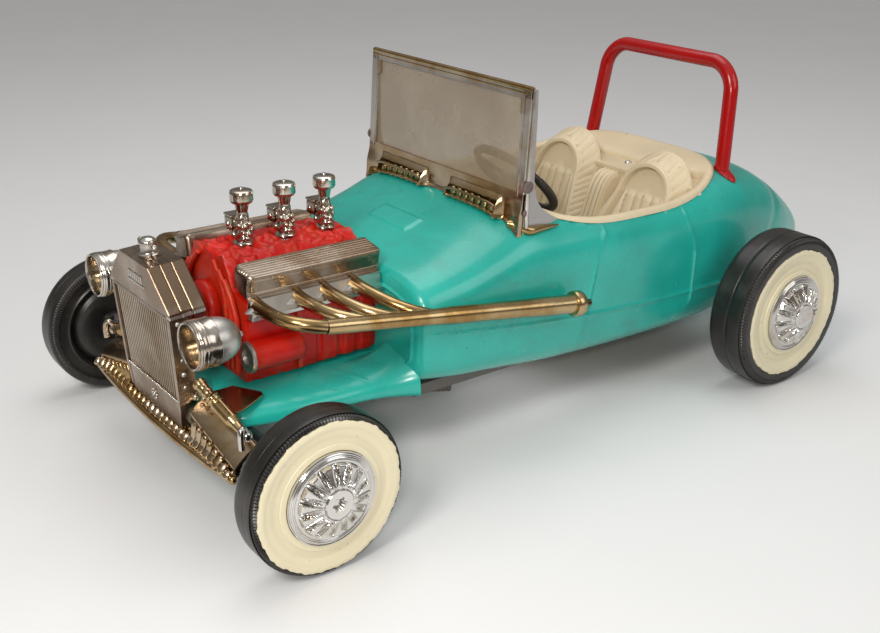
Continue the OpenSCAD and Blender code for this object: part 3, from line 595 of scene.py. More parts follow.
# %% [markdown]
# ## Tyres
# The tyres are hollow moulded rings with an inner dish. The tread is smooth with a few fine
# turned lines, and the outer shoulder has about 150 short ribs like the milling on a coin. One
# profile is turned round the axle, and the ribs come from a cosine of the angle. On the front
# tyre the wall between ribs and whitewall is too narrow for the small step the rear one has.

# %% Tyres
RIBS = 150


def on_axle(side, y, radius, face_x, width):
    """Maps wheel coordinates, with height 0 at the inner face, to the car."""
    return lambda x, u, h: joined(side * (face_x - width + h), y + u, radius + x)


def dense(points, step=2.5):
    """The same outline with extra points so that no stretch is longer than step."""
    points = np.asarray(points, float)
    made = []
    for a, b in zip(points, np.roll(points, -1, 0)):
        n = max(1, int(np.ceil(np.linalg.norm(b - a) / step)))
        made.extend(a + (b - a) * k / n for k in range(n))
    return np.array(made)


def tyre(name, side, y, r, width, face_x, white_r, cap_r, body, knurl_in):
    """A closed profile of tread, shoulders, wall, hub and inner dish, turned round the axle."""
    outer = [(r - 3.2, 1.6), (r - 1.2, 4), (r - 0.2, 8), (r, 12), (r, width * 0.50), (r - 0.5, width * 0.508),
             (r, width * 0.516), (r, width - 11), (r - 0.4, width - 8)]
    shoulder = [(r - 1.6, width - 5.0), (r - 2.6, width - 3.4), (r - 3.8, width - 2.2), (r - 5, width - 1.4),
                (white_r + 1.5, width - 0.8)]
    flat_wall = [] if r - white_r < 12 else [(r - 9, width - 0.6), (r - 9.4, width - 1.4), (r - 10, width - 0.6),
                                             (white_r + 6, width - 0.4)]
    profile = dense(outer, 6).tolist()[:-2] + shoulder[:4] + flat_wall + shoulder[4:] + [
        (white_r, width - 4), (cap_r - 2, width - 4), (cap_r - 6, width - 9), (20, width - 9), (20, width - 6),
        (8.2, width - 6), (8.2, 0), (18, 0), (20, 3), (22, 8), (0.36 * r, 4), (0.5 * r, 3), (0.6 * r, 8),
        (0.645 * r, 20), (0.655 * r, 20), (0.67 * r, 6), (0.70 * r, 3), (0.71 * r, 1), (0.72 * r, 0.4),
        (0.735 * r, 1.4), (0.75 * r, 4), (r - 16, 4), (r - 14, 1.4), (r - 12, 0.5), (r - 6, 0.7)]

    def knurl(radius, height, angle):
        """Ribs: half a cosine of the angle sinks the outer shoulder and lifts the inner one."""
        on_shoulder = smoothstep(knurl_in, knurl_in + 1.5, radius) * smoothstep(width - 9, width - 5.5, height)
        inside = smoothstep(r - 16, r - 13, radius) * smoothstep(6, 3, height) * smoothstep(r, r - 2.5, radius)
        wave = np.cos(RIBS * angle)
        return radius - 1.1 * on_shoulder * (1 - wave) / 2, height - 1.0 * (on_shoulder - inside) * (1 - wave) / 2

    return Shape().turned(profile, on_axle(side, y, r, face_x, width), steps=RIBS * 4, wave=knurl).make(
        name + "_shape", name, "tyre_black", body=body, crease=50)


# %% [markdown]
# ## Whitewalls
# The white ring is painted cream and its outer edge wanders where the brush met the ribs. The
# ring is turned like the tyre, with shallow steps, and a slow wave moves its outer edge.

# %% Whitewalls


def whitewall(name, side, y, r, width, face_x, white_r, cap_r, body, dish):
    """A shallow closed ring whose face sinks by dish in its middle."""
    middle = (white_r + cap_r) / 2
    profile = [(cap_r, width - 4), (white_r, width - 4), (white_r + 0.3, width - 0.4), (white_r - 1.5, width + 0.5),
               (white_r - 7, width + 0.6), (white_r - 8, width + 0.1), (middle + 3, width - 0.5 * dish),
               (middle, width - dish), (middle - 2, width - dish - 0.5), (cap_r + 8, width - 0.8 * dish),
               (cap_r + 7, width - 0.3 * dish), (cap_r + 1, width - 0.2 * dish), (cap_r, width - 0.6)]

    def brushed(radius, height, angle):
        """Three sines of the angle move the outer edge in and out."""
        edge = smoothstep(white_r - 5, white_r, radius)
        wander = 0.55 * np.sin(11 * angle + 1) + 0.4 * np.sin(29 * angle) + 0.35 * np.sin(53 * angle + 2)
        return radius + edge * wander * 1.1, height

    return Shape().turned(dense(profile, 4), on_axle(side, y, r, face_x, width), steps=360, wave=brushed).make(
        name + "_ring", name, "cream_plastic", "whitewall", body=body, crease=30)


# %% [markdown]
# ## Hubcaps
# A plated dome with turned rings at its rim and a fan of flutes: wide raised blades take turns
# with long oval pockets. The dome is a height over radius and angle, and the flutes are added to
# that height before the grid becomes a closed cap.

# %% Hubcaps
BLADES = 15


def hubcap(name, side, y, r, width, face_x, cap_r, proud, body, socket):
    """A height over radius and angle: dome, turned rings, blades, ovals and a flat centre."""
    rim = cap_r - 0.5
    radii = np.concatenate([np.linspace(0.001, 0.30, 10), np.linspace(0.31, 0.80, 34),
                            np.linspace(0.81, 1.0, 22)]) * rim
    angles = full_turn(BLADES * 32)
    rr, aa = np.meshgrid(radii, angles, indexing="ij")
    share = rr / rim
    dome = 2.5 + (proud - 8) * smoothstep(0.84, 0.34, share) + 1.4 * smoothstep(0.98, 0.9, share)
    for place_of in (0.86, 0.90, 0.94, 0.975):
        dome -= 0.75 * ridge(share, place_of, 0.010)
    phase = (aa * BLADES / (2 * np.pi)) % 1.0
    near = np.abs(phase - 0.5)
    widen = 0.13 + 0.17 * smoothstep(0.36, 0.78, share)
    blade = smoothstep(widen + 0.05, widen - 0.02, near)
    lip = ridge(near, widen, 0.045)
    reach = smoothstep(0.80, 0.765, share) * smoothstep(0.33, 0.40, share)
    dome += reach * (blade * (4.2 * smoothstep(0.45, 0.78, share) + 0.6) + 1.6 * lip)
    far = np.abs((phase + 0.5) % 1.0 - 0.5)
    oval = (far / 0.105) ** 2 + ((share - 0.60) / 0.14) ** 2
    oval_edge = 2.2 * ridge(np.sqrt(oval), 1.0, 0.28) * smoothstep(0.34, 0.42, share)
    dome += oval_edge - 1.2 * smoothstep(0.9, 0.5, oval)
    centre = smoothstep(0.315, 0.295, share)
    dome = dome * (1 - centre) + centre * (proud - 3.4)
    dome += 1.8 * ridge(share, 0.285, 0.016) - 0.7 * ridge(share, 0.325, 0.012)
    if socket:
        hexagon = rr * np.cos((aa % (np.pi / 3)) - np.pi / 6) + 1.5 * np.cos(6 * aa)
        dome -= 6.5 * smoothstep(7.2, 5.8, hexagon)
        dome += 0.5 * ridge(share, 0.20, 0.014)
    else:
        dome += 0.8 * ridge(share, 0.14, 0.03)
    place = on_axle(side, y, r, face_x, width)
    top = place(rr * np.cos(aa), rr * np.sin(aa), width + dome)
    skirt = [(rim, width - 3.8), (rim - 5, width - 5.0), (1.0, width - 5.0)]
    under = np.stack([place(q * np.cos(angles), q * np.sin(angles), h) for q, h in skirt])
    return Shape().rings(np.concatenate([top, under])).make(
        name + "_fan", name, "plated_silver", "plated_bright", body=body, crease=40)


# %% [markdown]
# ### All four wheels
# The wheels are the same three pieces in two sizes, so a short table makes them all. Only the front
# left cap has a wrench socket in its middle.

# %% The four wheels
WHEELS = [("front", "left", 1, "front_left_wheel"), ("front", "right", -1, "front_right_wheel"),
          ("rear", "left", 1, "crank_axle"), ("rear", "right", -1, "rear_right_wheel")]
for end, hand, side, body in WHEELS:
    front = end == "front"
    y, r, width, face_x = (0, FRONT_R, FRONT_W, FRONT_FACE) if front else (WHEELBASE, REAR_R, REAR_W, REAR_FACE)
    white_r, cap_r = (r - 7.2, 0.58 * r) if front else (r - 20.8, 0.5 * r)
    tyre(f"{end}_tyre_{hand}", side, y, r, width, face_x, white_r, cap_r, body, r - 8)
    whitewall(f"{end}_whitewall_{hand}", side, y, r, width, face_x, white_r, cap_r, body, 1.6 if front else 3.5)
    hubcap(f"{end}_hubcap_{hand}", side, y, r, width, face_x, cap_r, 21 if front else 23, body,
           front and side > 0)

# %% [markdown]
# ## The body
# The body is one hollow moulding: cowl, sides and boat tail. Its sections are superellipses whose
# width, height and roundness change along the car. Each section is spaced out again by arc
# length, closer together where a raised line runs, so that fine lines can be real relief.

# %% Body sections
BODY_ROWS = np.array([
    # y, half width, bottom, top, roundness
    [220, 197, 119, 264, 5.0], [240, 200, 112, 271, 4.6], [300, 203, 100, 286, 4.4], [345, 204, 94, 301, 4.4],
    [400, 205, 87, 321, 4.4], [470, 205, 79, 323, 4.4], [640, 205, 71, 323, 4.4], [790, 203, 71, 323, 4.4],
    [855, 198, 76, 320, 4.2], [881, 195, 79, 314, 4.0], [955, 180, 88, 298, 3.3], [1028, 158, 100, 262, 2.8],
    [1108, 118, 112, 206, 2.5], [1150, 74, 118, 158, 2.2], [TAIL_Y, 10, 129, 137, 2.0]])
WAIST = 0.48
COWL_Y = 220


def curve(rows, y, column):
    """A smooth curve through the rows: cubic pieces whose slopes come from both neighbours."""
    y = np.asarray(y, float)
    i = np.clip(np.searchsorted(rows[:, 0], y, side="right") - 1, 0, len(rows) - 2)
    v = rows[:, column]
    before, after = np.maximum(np.arange(len(rows)) - 1, 0), np.minimum(np.arange(len(rows)) + 1, len(rows) - 1)
    slope = (v[after] - v[before]) / (rows[after, 0] - rows[before, 0])
    h = rows[i + 1, 0] - rows[i, 0]
    s = (y - rows[i, 0]) / h
    return (v[i] * (2 * s**3 - 3 * s**2 + 1) + slope[i] * h * (s**3 - 2 * s**2 + s)
            + v[i + 1] * (3 * s**2 - 2 * s**3) + slope[i + 1] * h * (s**3 - s**2))


def body_top(x, y):
    """Height of the body's upper surface: the top half of the superellipse at that y."""
    w, b, t, n = (curve(BODY_ROWS, y, k) for k in (1, 2, 3, 4))
    c = b + WAIST * (t - b)
    return c + (t - c) * np.clip(1 - np.minimum(np.abs(x) / w, 1) ** n, 0, 1) ** (1 / n)


def belt_height(y):
    """The raised belt line falls in a slight curve from the cowl to the rear wheel."""
    return 151 + 31 * np.clip((800 - y) / 455, 0, 1.3) ** 1.9


def section(y, inset, count):
    """One superellipse section, count points, spaced by arc length and closer near lines."""
    w, b, t, n = (float(curve(BODY_ROWS, y, k)) for k in (1, 2, 3, 4))
    w, b, t = max(w - inset, 4), b + inset, t - inset
    c = b + WAIST * (t - b)
    a = np.linspace(0, 2 * np.pi, 3001)
    e = 2 / n
    x = w * np.sign(np.cos(a)) * np.abs(np.cos(a)) ** e
    z = c + np.where(np.sin(a) > 0, t - c, c - b) * np.sign(np.sin(a)) * np.abs(np.sin(a)) ** e
    middle_z, middle_x = (z[1:] + z[:-1]) / 2, (x[1:] + x[:-1]) / 2
    weight = 1 + 3.0 * ridge(middle_z, belt_height(y), 6) + 2 * ridge(np.abs(middle_x), 45, 4) * (middle_z > c)
    length = np.concatenate([[0], np.cumsum(np.hypot(np.diff(x), np.diff(z)) * weight)])
    at = np.linspace(0, length[-1], count, endpoint=False)
    return joined(np.interp(at, length, x), y, np.interp(at, length, z))


# %% [markdown]
# ### Lines moulded into the body
# The doors are only raised lines, as is the belt line. A badge-shaped plate stands on the cowl.
# Each is a distance to a curve, turned into height by a narrow bump, along the surface's normal.

# %% Relief of the body


def door_distance(y, z):
    """Distance to a door outline: a rounded rectangle whose upper edges lean inwards."""
    front = 502 + (z - 125) * 0.19 + 14 * smoothstep(235, 290, z)
    rear = 735 - 23 * smoothstep(215, 290, z) - 30 * smoothstep(130, 95, z)
    u = ((y - front) / (rear - front) - 0.5) * 240
    v = z - 205
    qx, qz = np.abs(u) - (120 - 26), np.abs(v) - (95 - 26)
    return np.hypot(np.maximum(qx, 0), np.maximum(qz, 0)) + np.minimum(np.maximum(qx, qz), 0) - 26


def body_relief(x, y, z):
    """How far the surface stands out, in mm."""
    side = smoothstep(120, 175, np.abs(x))
    top = (z > 200) & (np.abs(x) < 90)
    line = 2.4 * ridge(door_distance(y, z), 0, 1.9) * smoothstep(290, 280, z) * side
    belt = ridge(z, belt_height(y), 2.2) + 0.6 * ridge(z, belt_height(y) - 9, 1.6) * smoothstep(470, 420, y)
    line = line + 2.2 * belt * side * smoothstep(232, 250, y) * smoothstep(905, 880, y)
    plate = smoothstep(47, 44, np.abs(x)) * smoothstep(300, 303, y) * smoothstep(334, 331, y)
    dents = 0.7 * lumps(x / 60, y / 55, 1.0) * lumps(z / 50, y / 70, 4.0)
    crease = -2.0 * ridge(y - 0.5 * (z - 250), 975, 9) * smoothstep(40, 110, x) * (z > 200)
    return line + 2.4 * plate * top + dents + crease


COCKPIT_Y, COCKPIT_A, COCKPIT_B = 642, 190, 222

stations = np.concatenate([np.linspace(220, 234, 8)[:-1], np.arange(234, 296, 6), np.arange(296, 340, 1.7),
                           np.arange(340, 478, 6), np.arange(478, 545, 2.3), np.arange(545, 694, 6),
                           np.arange(694, 754, 2.3), np.arange(754, 1130, 6.5), np.linspace(1130, TAIL_Y, 16)])
GIRTH = 176  # points round each section
rounding = 13 * (1 - np.sqrt(np.clip(1 - ((234 - np.minimum(stations, 234)) / 14) ** 2, 0, 1)))
hull_rings = np.stack([section(y, q, GIRTH) for y, q in zip(stations, rounding)])
face_insets = np.array([14, 15, 16, 17.5, 19, 20.5, 22, 24, 27, 34, 50])
face_rings = np.stack([section(COWL_Y, q, GIRTH) for q in face_insets])
face_rings[..., 1] -= (3.0 * ridge(face_insets, 19, 2.2))[:, None]
body_grid = np.concatenate([face_rings[::-1], hull_rings])
across = np.roll(body_grid, -1, 1) - np.roll(body_grid, 1, 1)
normal = np.cross(np.gradient(body_grid, axis=0), across)
normal /= np.maximum(np.linalg.norm(normal, axis=2), 1e-9)[..., None]
if np.einsum("ijk,ijk->", normal[40:], body_grid[40:] * [1, 0, 1] - [0, 0, 190]) < 0:
    normal = -normal
lift = body_relief(*np.moveaxis(body_grid, 2, 0))
lift[:len(face_insets)] = 0
body_grid += normal * lift[..., None]

# %% [markdown]
# ### Openings
# The cockpit is cut out of the skin along its rounded plan. Faces inside the plan go, and the
# points next to them slide out to the plan's edge, where the cream rim hides the join.

# %% Cut the cockpit, the floor and the axle slots


def cockpit_power(y):
    """The plan's power: a squarer oval in front, a rounder one at the rear."""
    return np.where(y > COCKPIT_Y, 1 / 0.33, 4.0)


def cockpit_reach(x, y):
    """1 on the plan's edge and less inside; its root by the power is the distance ratio."""
    power = cockpit_power(y)
    return ((np.abs(x) / COCKPIT_A) ** power + (np.abs(y - COCKPIT_Y) / COCKPIT_B) ** power) ** (1 / power)


body_points = body_grid.reshape(-1, 3).copy()
body_faces = grid_faces(*body_grid.shape[:2], around=True)
x, y, z = body_points.T
in_cockpit = (cockpit_reach(x, y) < 1) & (z > 180)
in_floor = (np.abs(x) < 170) & (y > 210) & (y < 938) & (z < 118)
AXLE_HOLE_R = 13
in_slot = (np.hypot(y - WHEELBASE, z - REAR_R) / AXLE_HOLE_R < 1) & (y > 800)
keep = ~np.any([hidden[body_faces].all(1) for hidden in (in_cockpit, in_floor, in_slot)], axis=0)
body_faces = body_faces[keep]


def to_cockpit_edge(p):
    """Scales the plan position about the cockpit's middle until its reach is 1."""
    grow = 1 / cockpit_reach(p[:, 0], p[:, 1])[:, None]
    return np.hstack([[0, COCKPIT_Y] + (p[:, :2] - [0, COCKPIT_Y]) * grow, p[:, 2:]])


def to_slot_edge(p):
    """Pushes a point away from the axle's line to the hole's radius."""
    middle = np.array([WHEELBASE, REAR_R])
    out = (p[:, 1:] - middle) / np.maximum(np.linalg.norm(p[:, 1:] - middle, axis=1), 0.1)[:, None]
    return np.hstack([p[:, :1], middle + AXLE_HOLE_R * out])


body_points[in_cockpit] = to_cockpit_edge(body_points[in_cockpit])
body_points[in_slot] = to_slot_edge(body_points[in_slot])

# fans close the front face and the tail
last = (body_grid.shape[0] - 1) * GIRTH
turn = np.arange(GIRTH)
tail_tip, face_middle = len(body_points), len(body_points) + 1
tail_fan = joined(last + turn, last + (turn + 1) % GIRTH, tail_tip, tail_tip)
face_fan = joined((turn + 1) % GIRTH, turn, face_middle, face_middle)
body_points = np.vstack([body_points, body_grid[-1].mean(0) + [0, 1.0, 0], body_grid[0].mean(0)])
body_faces = np.vstack([body_faces, tail_fan, face_fan])
print("body:", len(body_faces), "faces")

# %% [markdown]
# ### The deck under the engine
# In front of the cowl the moulding goes on as a low deck. It flares out into the cowl at its rear
# end, and a fine raised line runs diagonally over that flare.

# %% Deck
DECK_ROWS = np.array([[-40, 118, 134], [0, 140, 142], [80, 156, 144], [230, 166, 144]])  # y, half width, top
DECK_FOOT, DECK_POWER = 111, 3.2
deck_y = np.concatenate([[-39.9, -39.4, -37.5], np.arange(-35, 100, 5), np.arange(100, 226, 2.5)])
deck_inset = np.array([9, 3.5, 1] + [0] * (len(deck_y) - 3), float)
flare = np.clip((deck_y - 120) / 105, 0, 1)
deck_w = curve(DECK_ROWS, deck_y, 1) - deck_inset + 27 * flare**2.6
deck_t = curve(DECK_ROWS, deck_y, 2) - deck_inset + 26 * flare**3
ARC_POINTS = 111
arc = np.linspace(0, np.pi, ARC_POINTS)[None, :]
deck_x = deck_w[:, None] * np.sign(np.cos(arc)) * np.abs(np.cos(arc)) ** (2 / DECK_POWER)
deck_z = DECK_FOOT + (deck_t[:, None] - DECK_FOOT) * np.abs(np.sin(arc)) ** (2 / DECK_POWER)
deck_sink = flare[:, None] ** 3 * 26 * smoothstep(118, 96, np.abs(deck_x))
line = ridge(deck_y[:, None] + 0.9 * (deck_w[:, None] - np.abs(deck_x)) - 0.55 * (deck_z - DECK_FOOT), 165, 2.2)
line = line * (np.abs(deck_x) > 110)
deck_grid = joined(deck_x, deck_y[:, None], deck_z - deck_sink + line)
deck_faces = grid_faces(*deck_grid.shape[:2])
front_points = np.concatenate([deck_grid[0], [[0, -40, 120]]])
step = np.arange(ARC_POINTS - 1)
front_fan = joined(step, step + 1, ARC_POINTS, ARC_POINTS)

body = Shape()
outward = volume(body_points - [0, 600, 190], body_faces) > 0
body.add(body_points, body_faces if outward else body_faces[:, ::-1], turn=False)
up = np.cross(deck_grid[1, 55] - deck_grid[0, 55], deck_grid[0, 56] - deck_grid[0, 55])[2] < 0
body.add(deck_grid.reshape(-1, 3), deck_faces if up else deck_faces[:, ::-1], turn=False)
body.add(front_points, front_fan if up else front_fan[:, ::-1], turn=False)
body_piece = body.make("moulded_body", "body_shell", "body_paint", crease=45)
WALL = 3.2
skin = body_piece.modifiers.new("skin", "SOLIDIFY")
skin.thickness = WALL * MM
skin.offset = -1

# %% [markdown]
# ## The cockpit insert
# A second moulding in cream: a rolled edge on the body, a broad slope at the rear, the walls and
# two bucket backs. It imitates upholstery, but it is hard plastic. The edge is one profile
# carried round the cockpit's plan.

# %% Rolled edge and walls


def cockpit_ring(angle):
    """The plan's unit oval at an angle."""
    power = 2 / cockpit_power(COCKPIT_Y + np.sin(angle))
    return (np.sign(np.cos(angle)) * np.abs(np.cos(angle)) ** power,
            np.sign(np.sin(angle)) * np.abs(np.sin(angle)) ** power)


def cockpit_rim(angle):
    """The edge's profile at one plan angle: (inward offset, height) pairs from foot to foot."""
    cx, cy = cockpit_ring(angle)
    x, y = (COCKPIT_A - 2) * cx, COCKPIT_Y + (COCKPIT_B - 2) * cy
    z = body_top(x, y) + 1.0
    slope = 11 + 46 * smoothstep(0.75, 0.99, cy) * (1 - 0.3 * smoothstep(0.6, 1, np.abs(cx)))
    foot = np.where(y < 470, z - 16, np.where(y < 560, z - 16 - (z - 186) * (y - 470) / 90, 170.0))
    foot = np.where(cy > 0.75, 300 - 130 * smoothstep(0.95, 0.75, cy), foot)
    floor_in = slope + 3 + 4 * smoothstep(0.5, 0.9, np.abs(cx))
    out = 1 - 0.45 * smoothstep(0.95, 0.7, np.abs(cy))
    offsets = joined(6 * out, 8.3 * out, 7.6 * out, 5.0 * out, 1.5 * out, -2.5, -6,
                     -0.45 * slope - 4, -0.75 * slope - 3, -slope, -slope - 2, -floor_in, -floor_in + 2.5,
                     -slope + 3, -2)
    heights = joined(z + 0.2, z + 2.5, z + 5.5, z + 7.6, z + 8.6, z + 8.4, z + 6.6, z + 3.5 - 0.06 * slope,
                     z + 0.5 - 0.12 * slope, z - 3 - 0.14 * slope, z - 7 - 0.14 * slope, foot, foot,
                     z - 9 - 0.14 * slope, z - 5.5)
    rim_x, rim_y = x[:, None] + offsets * np.cos(angle)[:, None], y[:, None] + offsets * np.sin(angle)[:, None]
    # the outer lip follows the body's shoulder down
    sink = np.minimum(body_top(rim_x, rim_y) + 1.0 - z[:, None], 0) * smoothstep(-4, 5, offsets)
    above = np.maximum(heights - z[:, None], 0) * 0.5 * smoothstep(0.95, 0.7, np.abs(cy))[:, None]
    return joined(rim_x, rim_y, heights + sink - above)


seat = Shape()
seat.rings(cockpit_rim(full_turn(260)), loop=True)

# %% [markdown]
# ### Bucket backs
# Each back is a horseshoe: a sunken oval panel with upright flutes, a smooth roll round it and a
# band of slanted pleats that falls away behind. The surface is a grid of horseshoes, from a line
# in the middle out to the edge, and its depth is a function of the horseshoe's size.

# %% Backs, console, cushion and shelf


def bucket_back(middle_x):
    """Depth over (size, way round): the panel lies flat, the roll stands 8 mm proud of it and the
    band falls 26 mm back. The horseshoe widens downwards, and its sides wrap forward."""
    size = np.concatenate([np.linspace(0.02, 0.80, 32), np.linspace(0.81, 1.24, 38)])[:, None]
    way = np.linspace(0, 1, 221)[None, :]
    straight, low, bend = 0.33, 176, 280
    turn = np.clip((way - straight) / (1 - 2 * straight), 0, 1) * np.pi
    rise = np.where(way < 0.5, way, 1 - way) / straight
    z = np.where(rise < 1, low + (bend - low) * rise, bend + np.sin(turn) * size * 52) + 0 * size
    x = -np.cos(turn) * size * (54 + 0.32 * np.clip(bend - z, 0, 90))
    lean = 0.30 * (z - low) - 10
    depth = -8 * smoothstep(0.78, 0.87, size) * smoothstep(1.05, 0.95, size) - 2.5 * smoothstep(0.3, 0, size)
    depth = depth + 26 * smoothstep(0.99, 1.24, size) ** 1.2 - 22 * (x / 75) ** 2 * smoothstep(320, 225, z)
    flutes = np.abs(np.sin(np.pi * x / 17.5)) ** 0.5
    depth = depth - 5.0 * flutes * smoothstep(0.76, 0.70, size) * smoothstep(287, 276, z)
    pleat = (way * 34 + size * 4.5 * np.sign(way - 0.5)) % 1.0
    band = smoothstep(0.99, 1.02, size) * smoothstep(1.23, 1.18, size)
    depth = depth - band * 4.4 * (np.sin(np.pi * pleat) ** 0.5 - 0.4)
    return joined(np.clip(middle_x + x, -182, 182), 706 + lean + depth, z)


for middle_x in (-100, 100):
    front = bucket_back(middle_x)
    rear = front * [1, 0, 1] + [0, 764, 0]
    rear[..., 1] = np.maximum(764, front[..., 1] + 3)
    seat.rings(np.concatenate([front, rear[::-1]], 0).transpose(1, 0, 2), loop=False)

console_path = np.array([[764, 292], [748, 294], [734, 290], [722, 276], [712, 250], [703, 222], [690, 206],
                         [660, 199], [620, 196], [567, 193]], float)
steps = np.linspace(0, 9, 60)
path_y, path_z = (np.interp(steps, np.arange(10), console_path[:, k]) for k in (0, 1))
for _ in range(3):
    path_y[1:-1] = (path_y[:-2] + path_y[1:-1] + path_y[2:]) / 3
    path_z[1:-1] = (path_z[:-2] + path_z[1:-1] + path_z[2:]) / 3
ny, nz = np.gradient(path_z), -np.gradient(path_y)
long = np.hypot(ny, nz)
ny, nz = -np.abs(ny / long), np.abs(nz / long)
width_x = np.linspace(-19, 19, 61)
lobes = 3.5 * np.abs(np.sin(np.pi * (width_x + 19) / 9.5)) ** 0.6 - 5 * smoothstep(14, 19, np.abs(width_x))
upper = joined(width_x, path_y[:, None] + ny[:, None] * lobes, path_z[:, None] + nz[:, None] * lobes)
lower = upper[:, ::-1] * [1, 1, 0] + [0, 10, 0] + np.maximum(upper[:, ::-1] * [0, 0, 1] - [0, 0, 60], [0, 0, 172])
seat.rings(np.concatenate([upper, lower], 1))

plan = joined(*cockpit_ring(full_turn(120)))
plan = [0, COCKPIT_Y] + plan * [COCKPIT_A - 6, COCKPIT_B - 6]
seat.plate(joined(plan[:, 0], np.clip(plan[:, 1], 752, 880)), 296, 302, joined)
seat.plate(joined(plan[:, 0], np.clip(plan[:, 1], 560, 764)), 170, 176, joined)
box_part(seat, (-184, 754, 172), (184, 760, 300))
for middle_x in (-100, 100):
    cushion_x = np.linspace(-1, 1, 61)
    cushion_y = np.linspace(562, 720, 40)
    gx, gy = np.meshgrid(cushion_x, cushion_y)
    crown = (1 - gx**8) * smoothstep(560, 575, gy) * smoothstep(724, 690, gy)
    flute = 2.6 * np.abs(np.sin(np.pi * gx * 6)) ** 0.6 * (np.abs(gx) < 0.75) * smoothstep(572, 590, gy)
    top = joined(middle_x + 66 * gx, gy, 177 + 10 * crown + flute * crown)
    seat.rings(np.concatenate([top, top[:, ::-1] * [1, 1, 0] + [0, 0, 173]], 1))
seat.make("cockpit_insert", "seat_insert", "cream_plastic", crease=60)

# %% [markdown]
# ## The engine
# A hollow red moulding that imitates a V engine. Its section is an outline carried back along the
# car. The intake on top is lumpy, the front shows the heads' V ribs, and the lower side panels
# are ribbed and end in a ragged edge.

# %% Engine
ENGINE_Y0, ENGINE_Y1 = 24, 219.3
ENGINE_OUTLINE = np.array([
    (0, 144.6), (88, 144.6), (92, 150), (94.5, 160), (94.5, 196), (94.5, 231), (99, 236), (103.5, 240), (104, 246),
    (100, 255.5), (80, 259.5), (62, 263.5), (58, 270), (54, 280), (50, 288), (44, 296), (38, 299), (20, 301),
    (0, 302)], float)


def spaced(outline, step):
    """Points along an open outline at an even distance."""
    lengths = np.concatenate([[0], np.cumsum(np.hypot(*np.diff(outline, axis=0).T))])
    at = np.linspace(0, lengths[-1], int(lengths[-1] / step))
    return np.stack([np.interp(at, lengths, outline[:, k]) for k in (0, 1)], 1)


half = spaced(ENGINE_OUTLINE, 3.0)
ring = np.vstack([half, (half * [-1, 1])[::-1][1:-1]])
engine_y = np.concatenate([[ENGINE_Y0, ENGINE_Y0 + 0.4, ENGINE_Y0 + 2],
                           np.arange(ENGINE_Y0 + 4, ENGINE_Y1 - 2, 2.4), [ENGINE_Y1]])
ex, ey, ez = np.array(np.broadcast_arrays(ring[:, 0], engine_y[:, None], ring[:, 1]))
on_side = smoothstep(234, 226, ez) * smoothstep(60, 86, np.abs(ex)) * smoothstep(144, 150, ez)
panel = np.zeros_like(ey)
for start, end in ((100, 126), (133, 158), (166, 186), (192, 214)):
    panel += smoothstep(start, start + 2.5, ey) * smoothstep(end, end - 2.5, ey)
ex += np.sign(ex) * on_side * (3.4 * panel - 1.5)
ragged = 3.0 * lumps(ey / 4.5, 0, 2.0) + 4 * smoothstep(95, 205, ey)
ez += np.clip(ragged, -0.4, 12) * smoothstep(150, 144.6, ez) * (np.abs(ex) > 80)
valley = smoothstep(262, 282, ez)
ez += valley * (3.4 * lumps(ex / 6.0, ey / 6.5, 0.5) + 2.4 * lumps(ex / 2.6, ey / 2.8, 3.0)
                - 7 * smoothstep(20, 3, np.abs((ey - 75 + 31) % 62.5 - 31)) * (np.abs(ex) < 24))
ex += np.sign(ex) * valley * (2.5 * lumps(ey / 5.0, ez / 6.0, 7.0) + 2 * np.cos(2 * np.pi * ey / 31))
front_pull = smoothstep(ENGINE_Y0 + 3, ENGINE_Y0, ey)
ex *= 1 - 0.02 * front_pull
engine = Shape().rings(joined(ex, ey, ez))

# the front of the block: a plate with raised ribs along the V of the heads and round the cover
for sign in (-1, 1):
    for dx, low_z, wide in ((0, 214, 3.4), (13, 206, 3.4), (27, 200, 4.2)):
        rib = np.array([[sign * (22 + dx), 20, 292 - dx * 0.7], [sign * (40 + dx), 19, 274 - dx * 0.7],
                        [sign * (53 + dx), 18, 252 - dx * 0.7], [sign * (55 + dx), 18, 225 - dx * 0.4],
                        [sign * (53 + dx), 18, low_z - 20], [sign * (52 + dx), 18, 158]])
        engine.pipe(rib, wide, sides=12)
    # side cylinder with its seam, and the silver ring on its front
    box_part(engine, (sign * 95 - 6, 26, 165), (sign * 95 + 6, 96, 171))
    barrel = np.array([[0.0, 24], [18, 24], [19, 26], [19, 92], [17, 95], [0, 95]])

    def lying(x, u, h, sign=sign):
        """Wheel-like coordinates with the height along the car."""
        return joined(sign * 101 + x, h, 186 + u)

    engine.turned(dense(barrel, 6), lying, steps=48)
    washer = np.array([[11, 18.5], [19.5, 18.5], [21, 20], [21, 23], [19.5, 24.5], [11, 24.5]])
    engine.turned(washer, lying, paint=1, steps=48)
    engine.turned(np.array([[0, 21.5], [12, 21.5], [12, 24.5], [0, 24.5]]) + [0.01, 0], lying, paint=1, steps=32)
    box_part(engine, (sign * 92 - 7, 96, 150), (sign * 92 + 6, 102, 230))


def facing_front(x, u, h):
    """Coordinates of the pulley: the height runs back from the front."""
    return joined(x, h, 226 + u)


pulley = np.array([[0.01, 0.5], [8, 0.5], [10, 3], [22, 3], [24, 1], [31, 1], [32.5, 3], [30, 6], [32.5, 9], [34, 12],
                   [34, 19], [30, 24], [0.01, 24]])
engine.turned(dense(pulley, 5), facing_front, steps=72)
engine.make("red_engine", "engine_block", "engine_red", "engine_red", "satin_silver", crease=42)

# %% [markdown]
# ## Valve covers
# Two long plated covers with six fine grooves along the sloping top, a panel line on the flat side
# and rounded ends. The grooves are part of the outline, which is carried along the head; the
# outline shrinks at both ends to round them.

# %% Valve covers
COVER_TILT = math.radians(10)


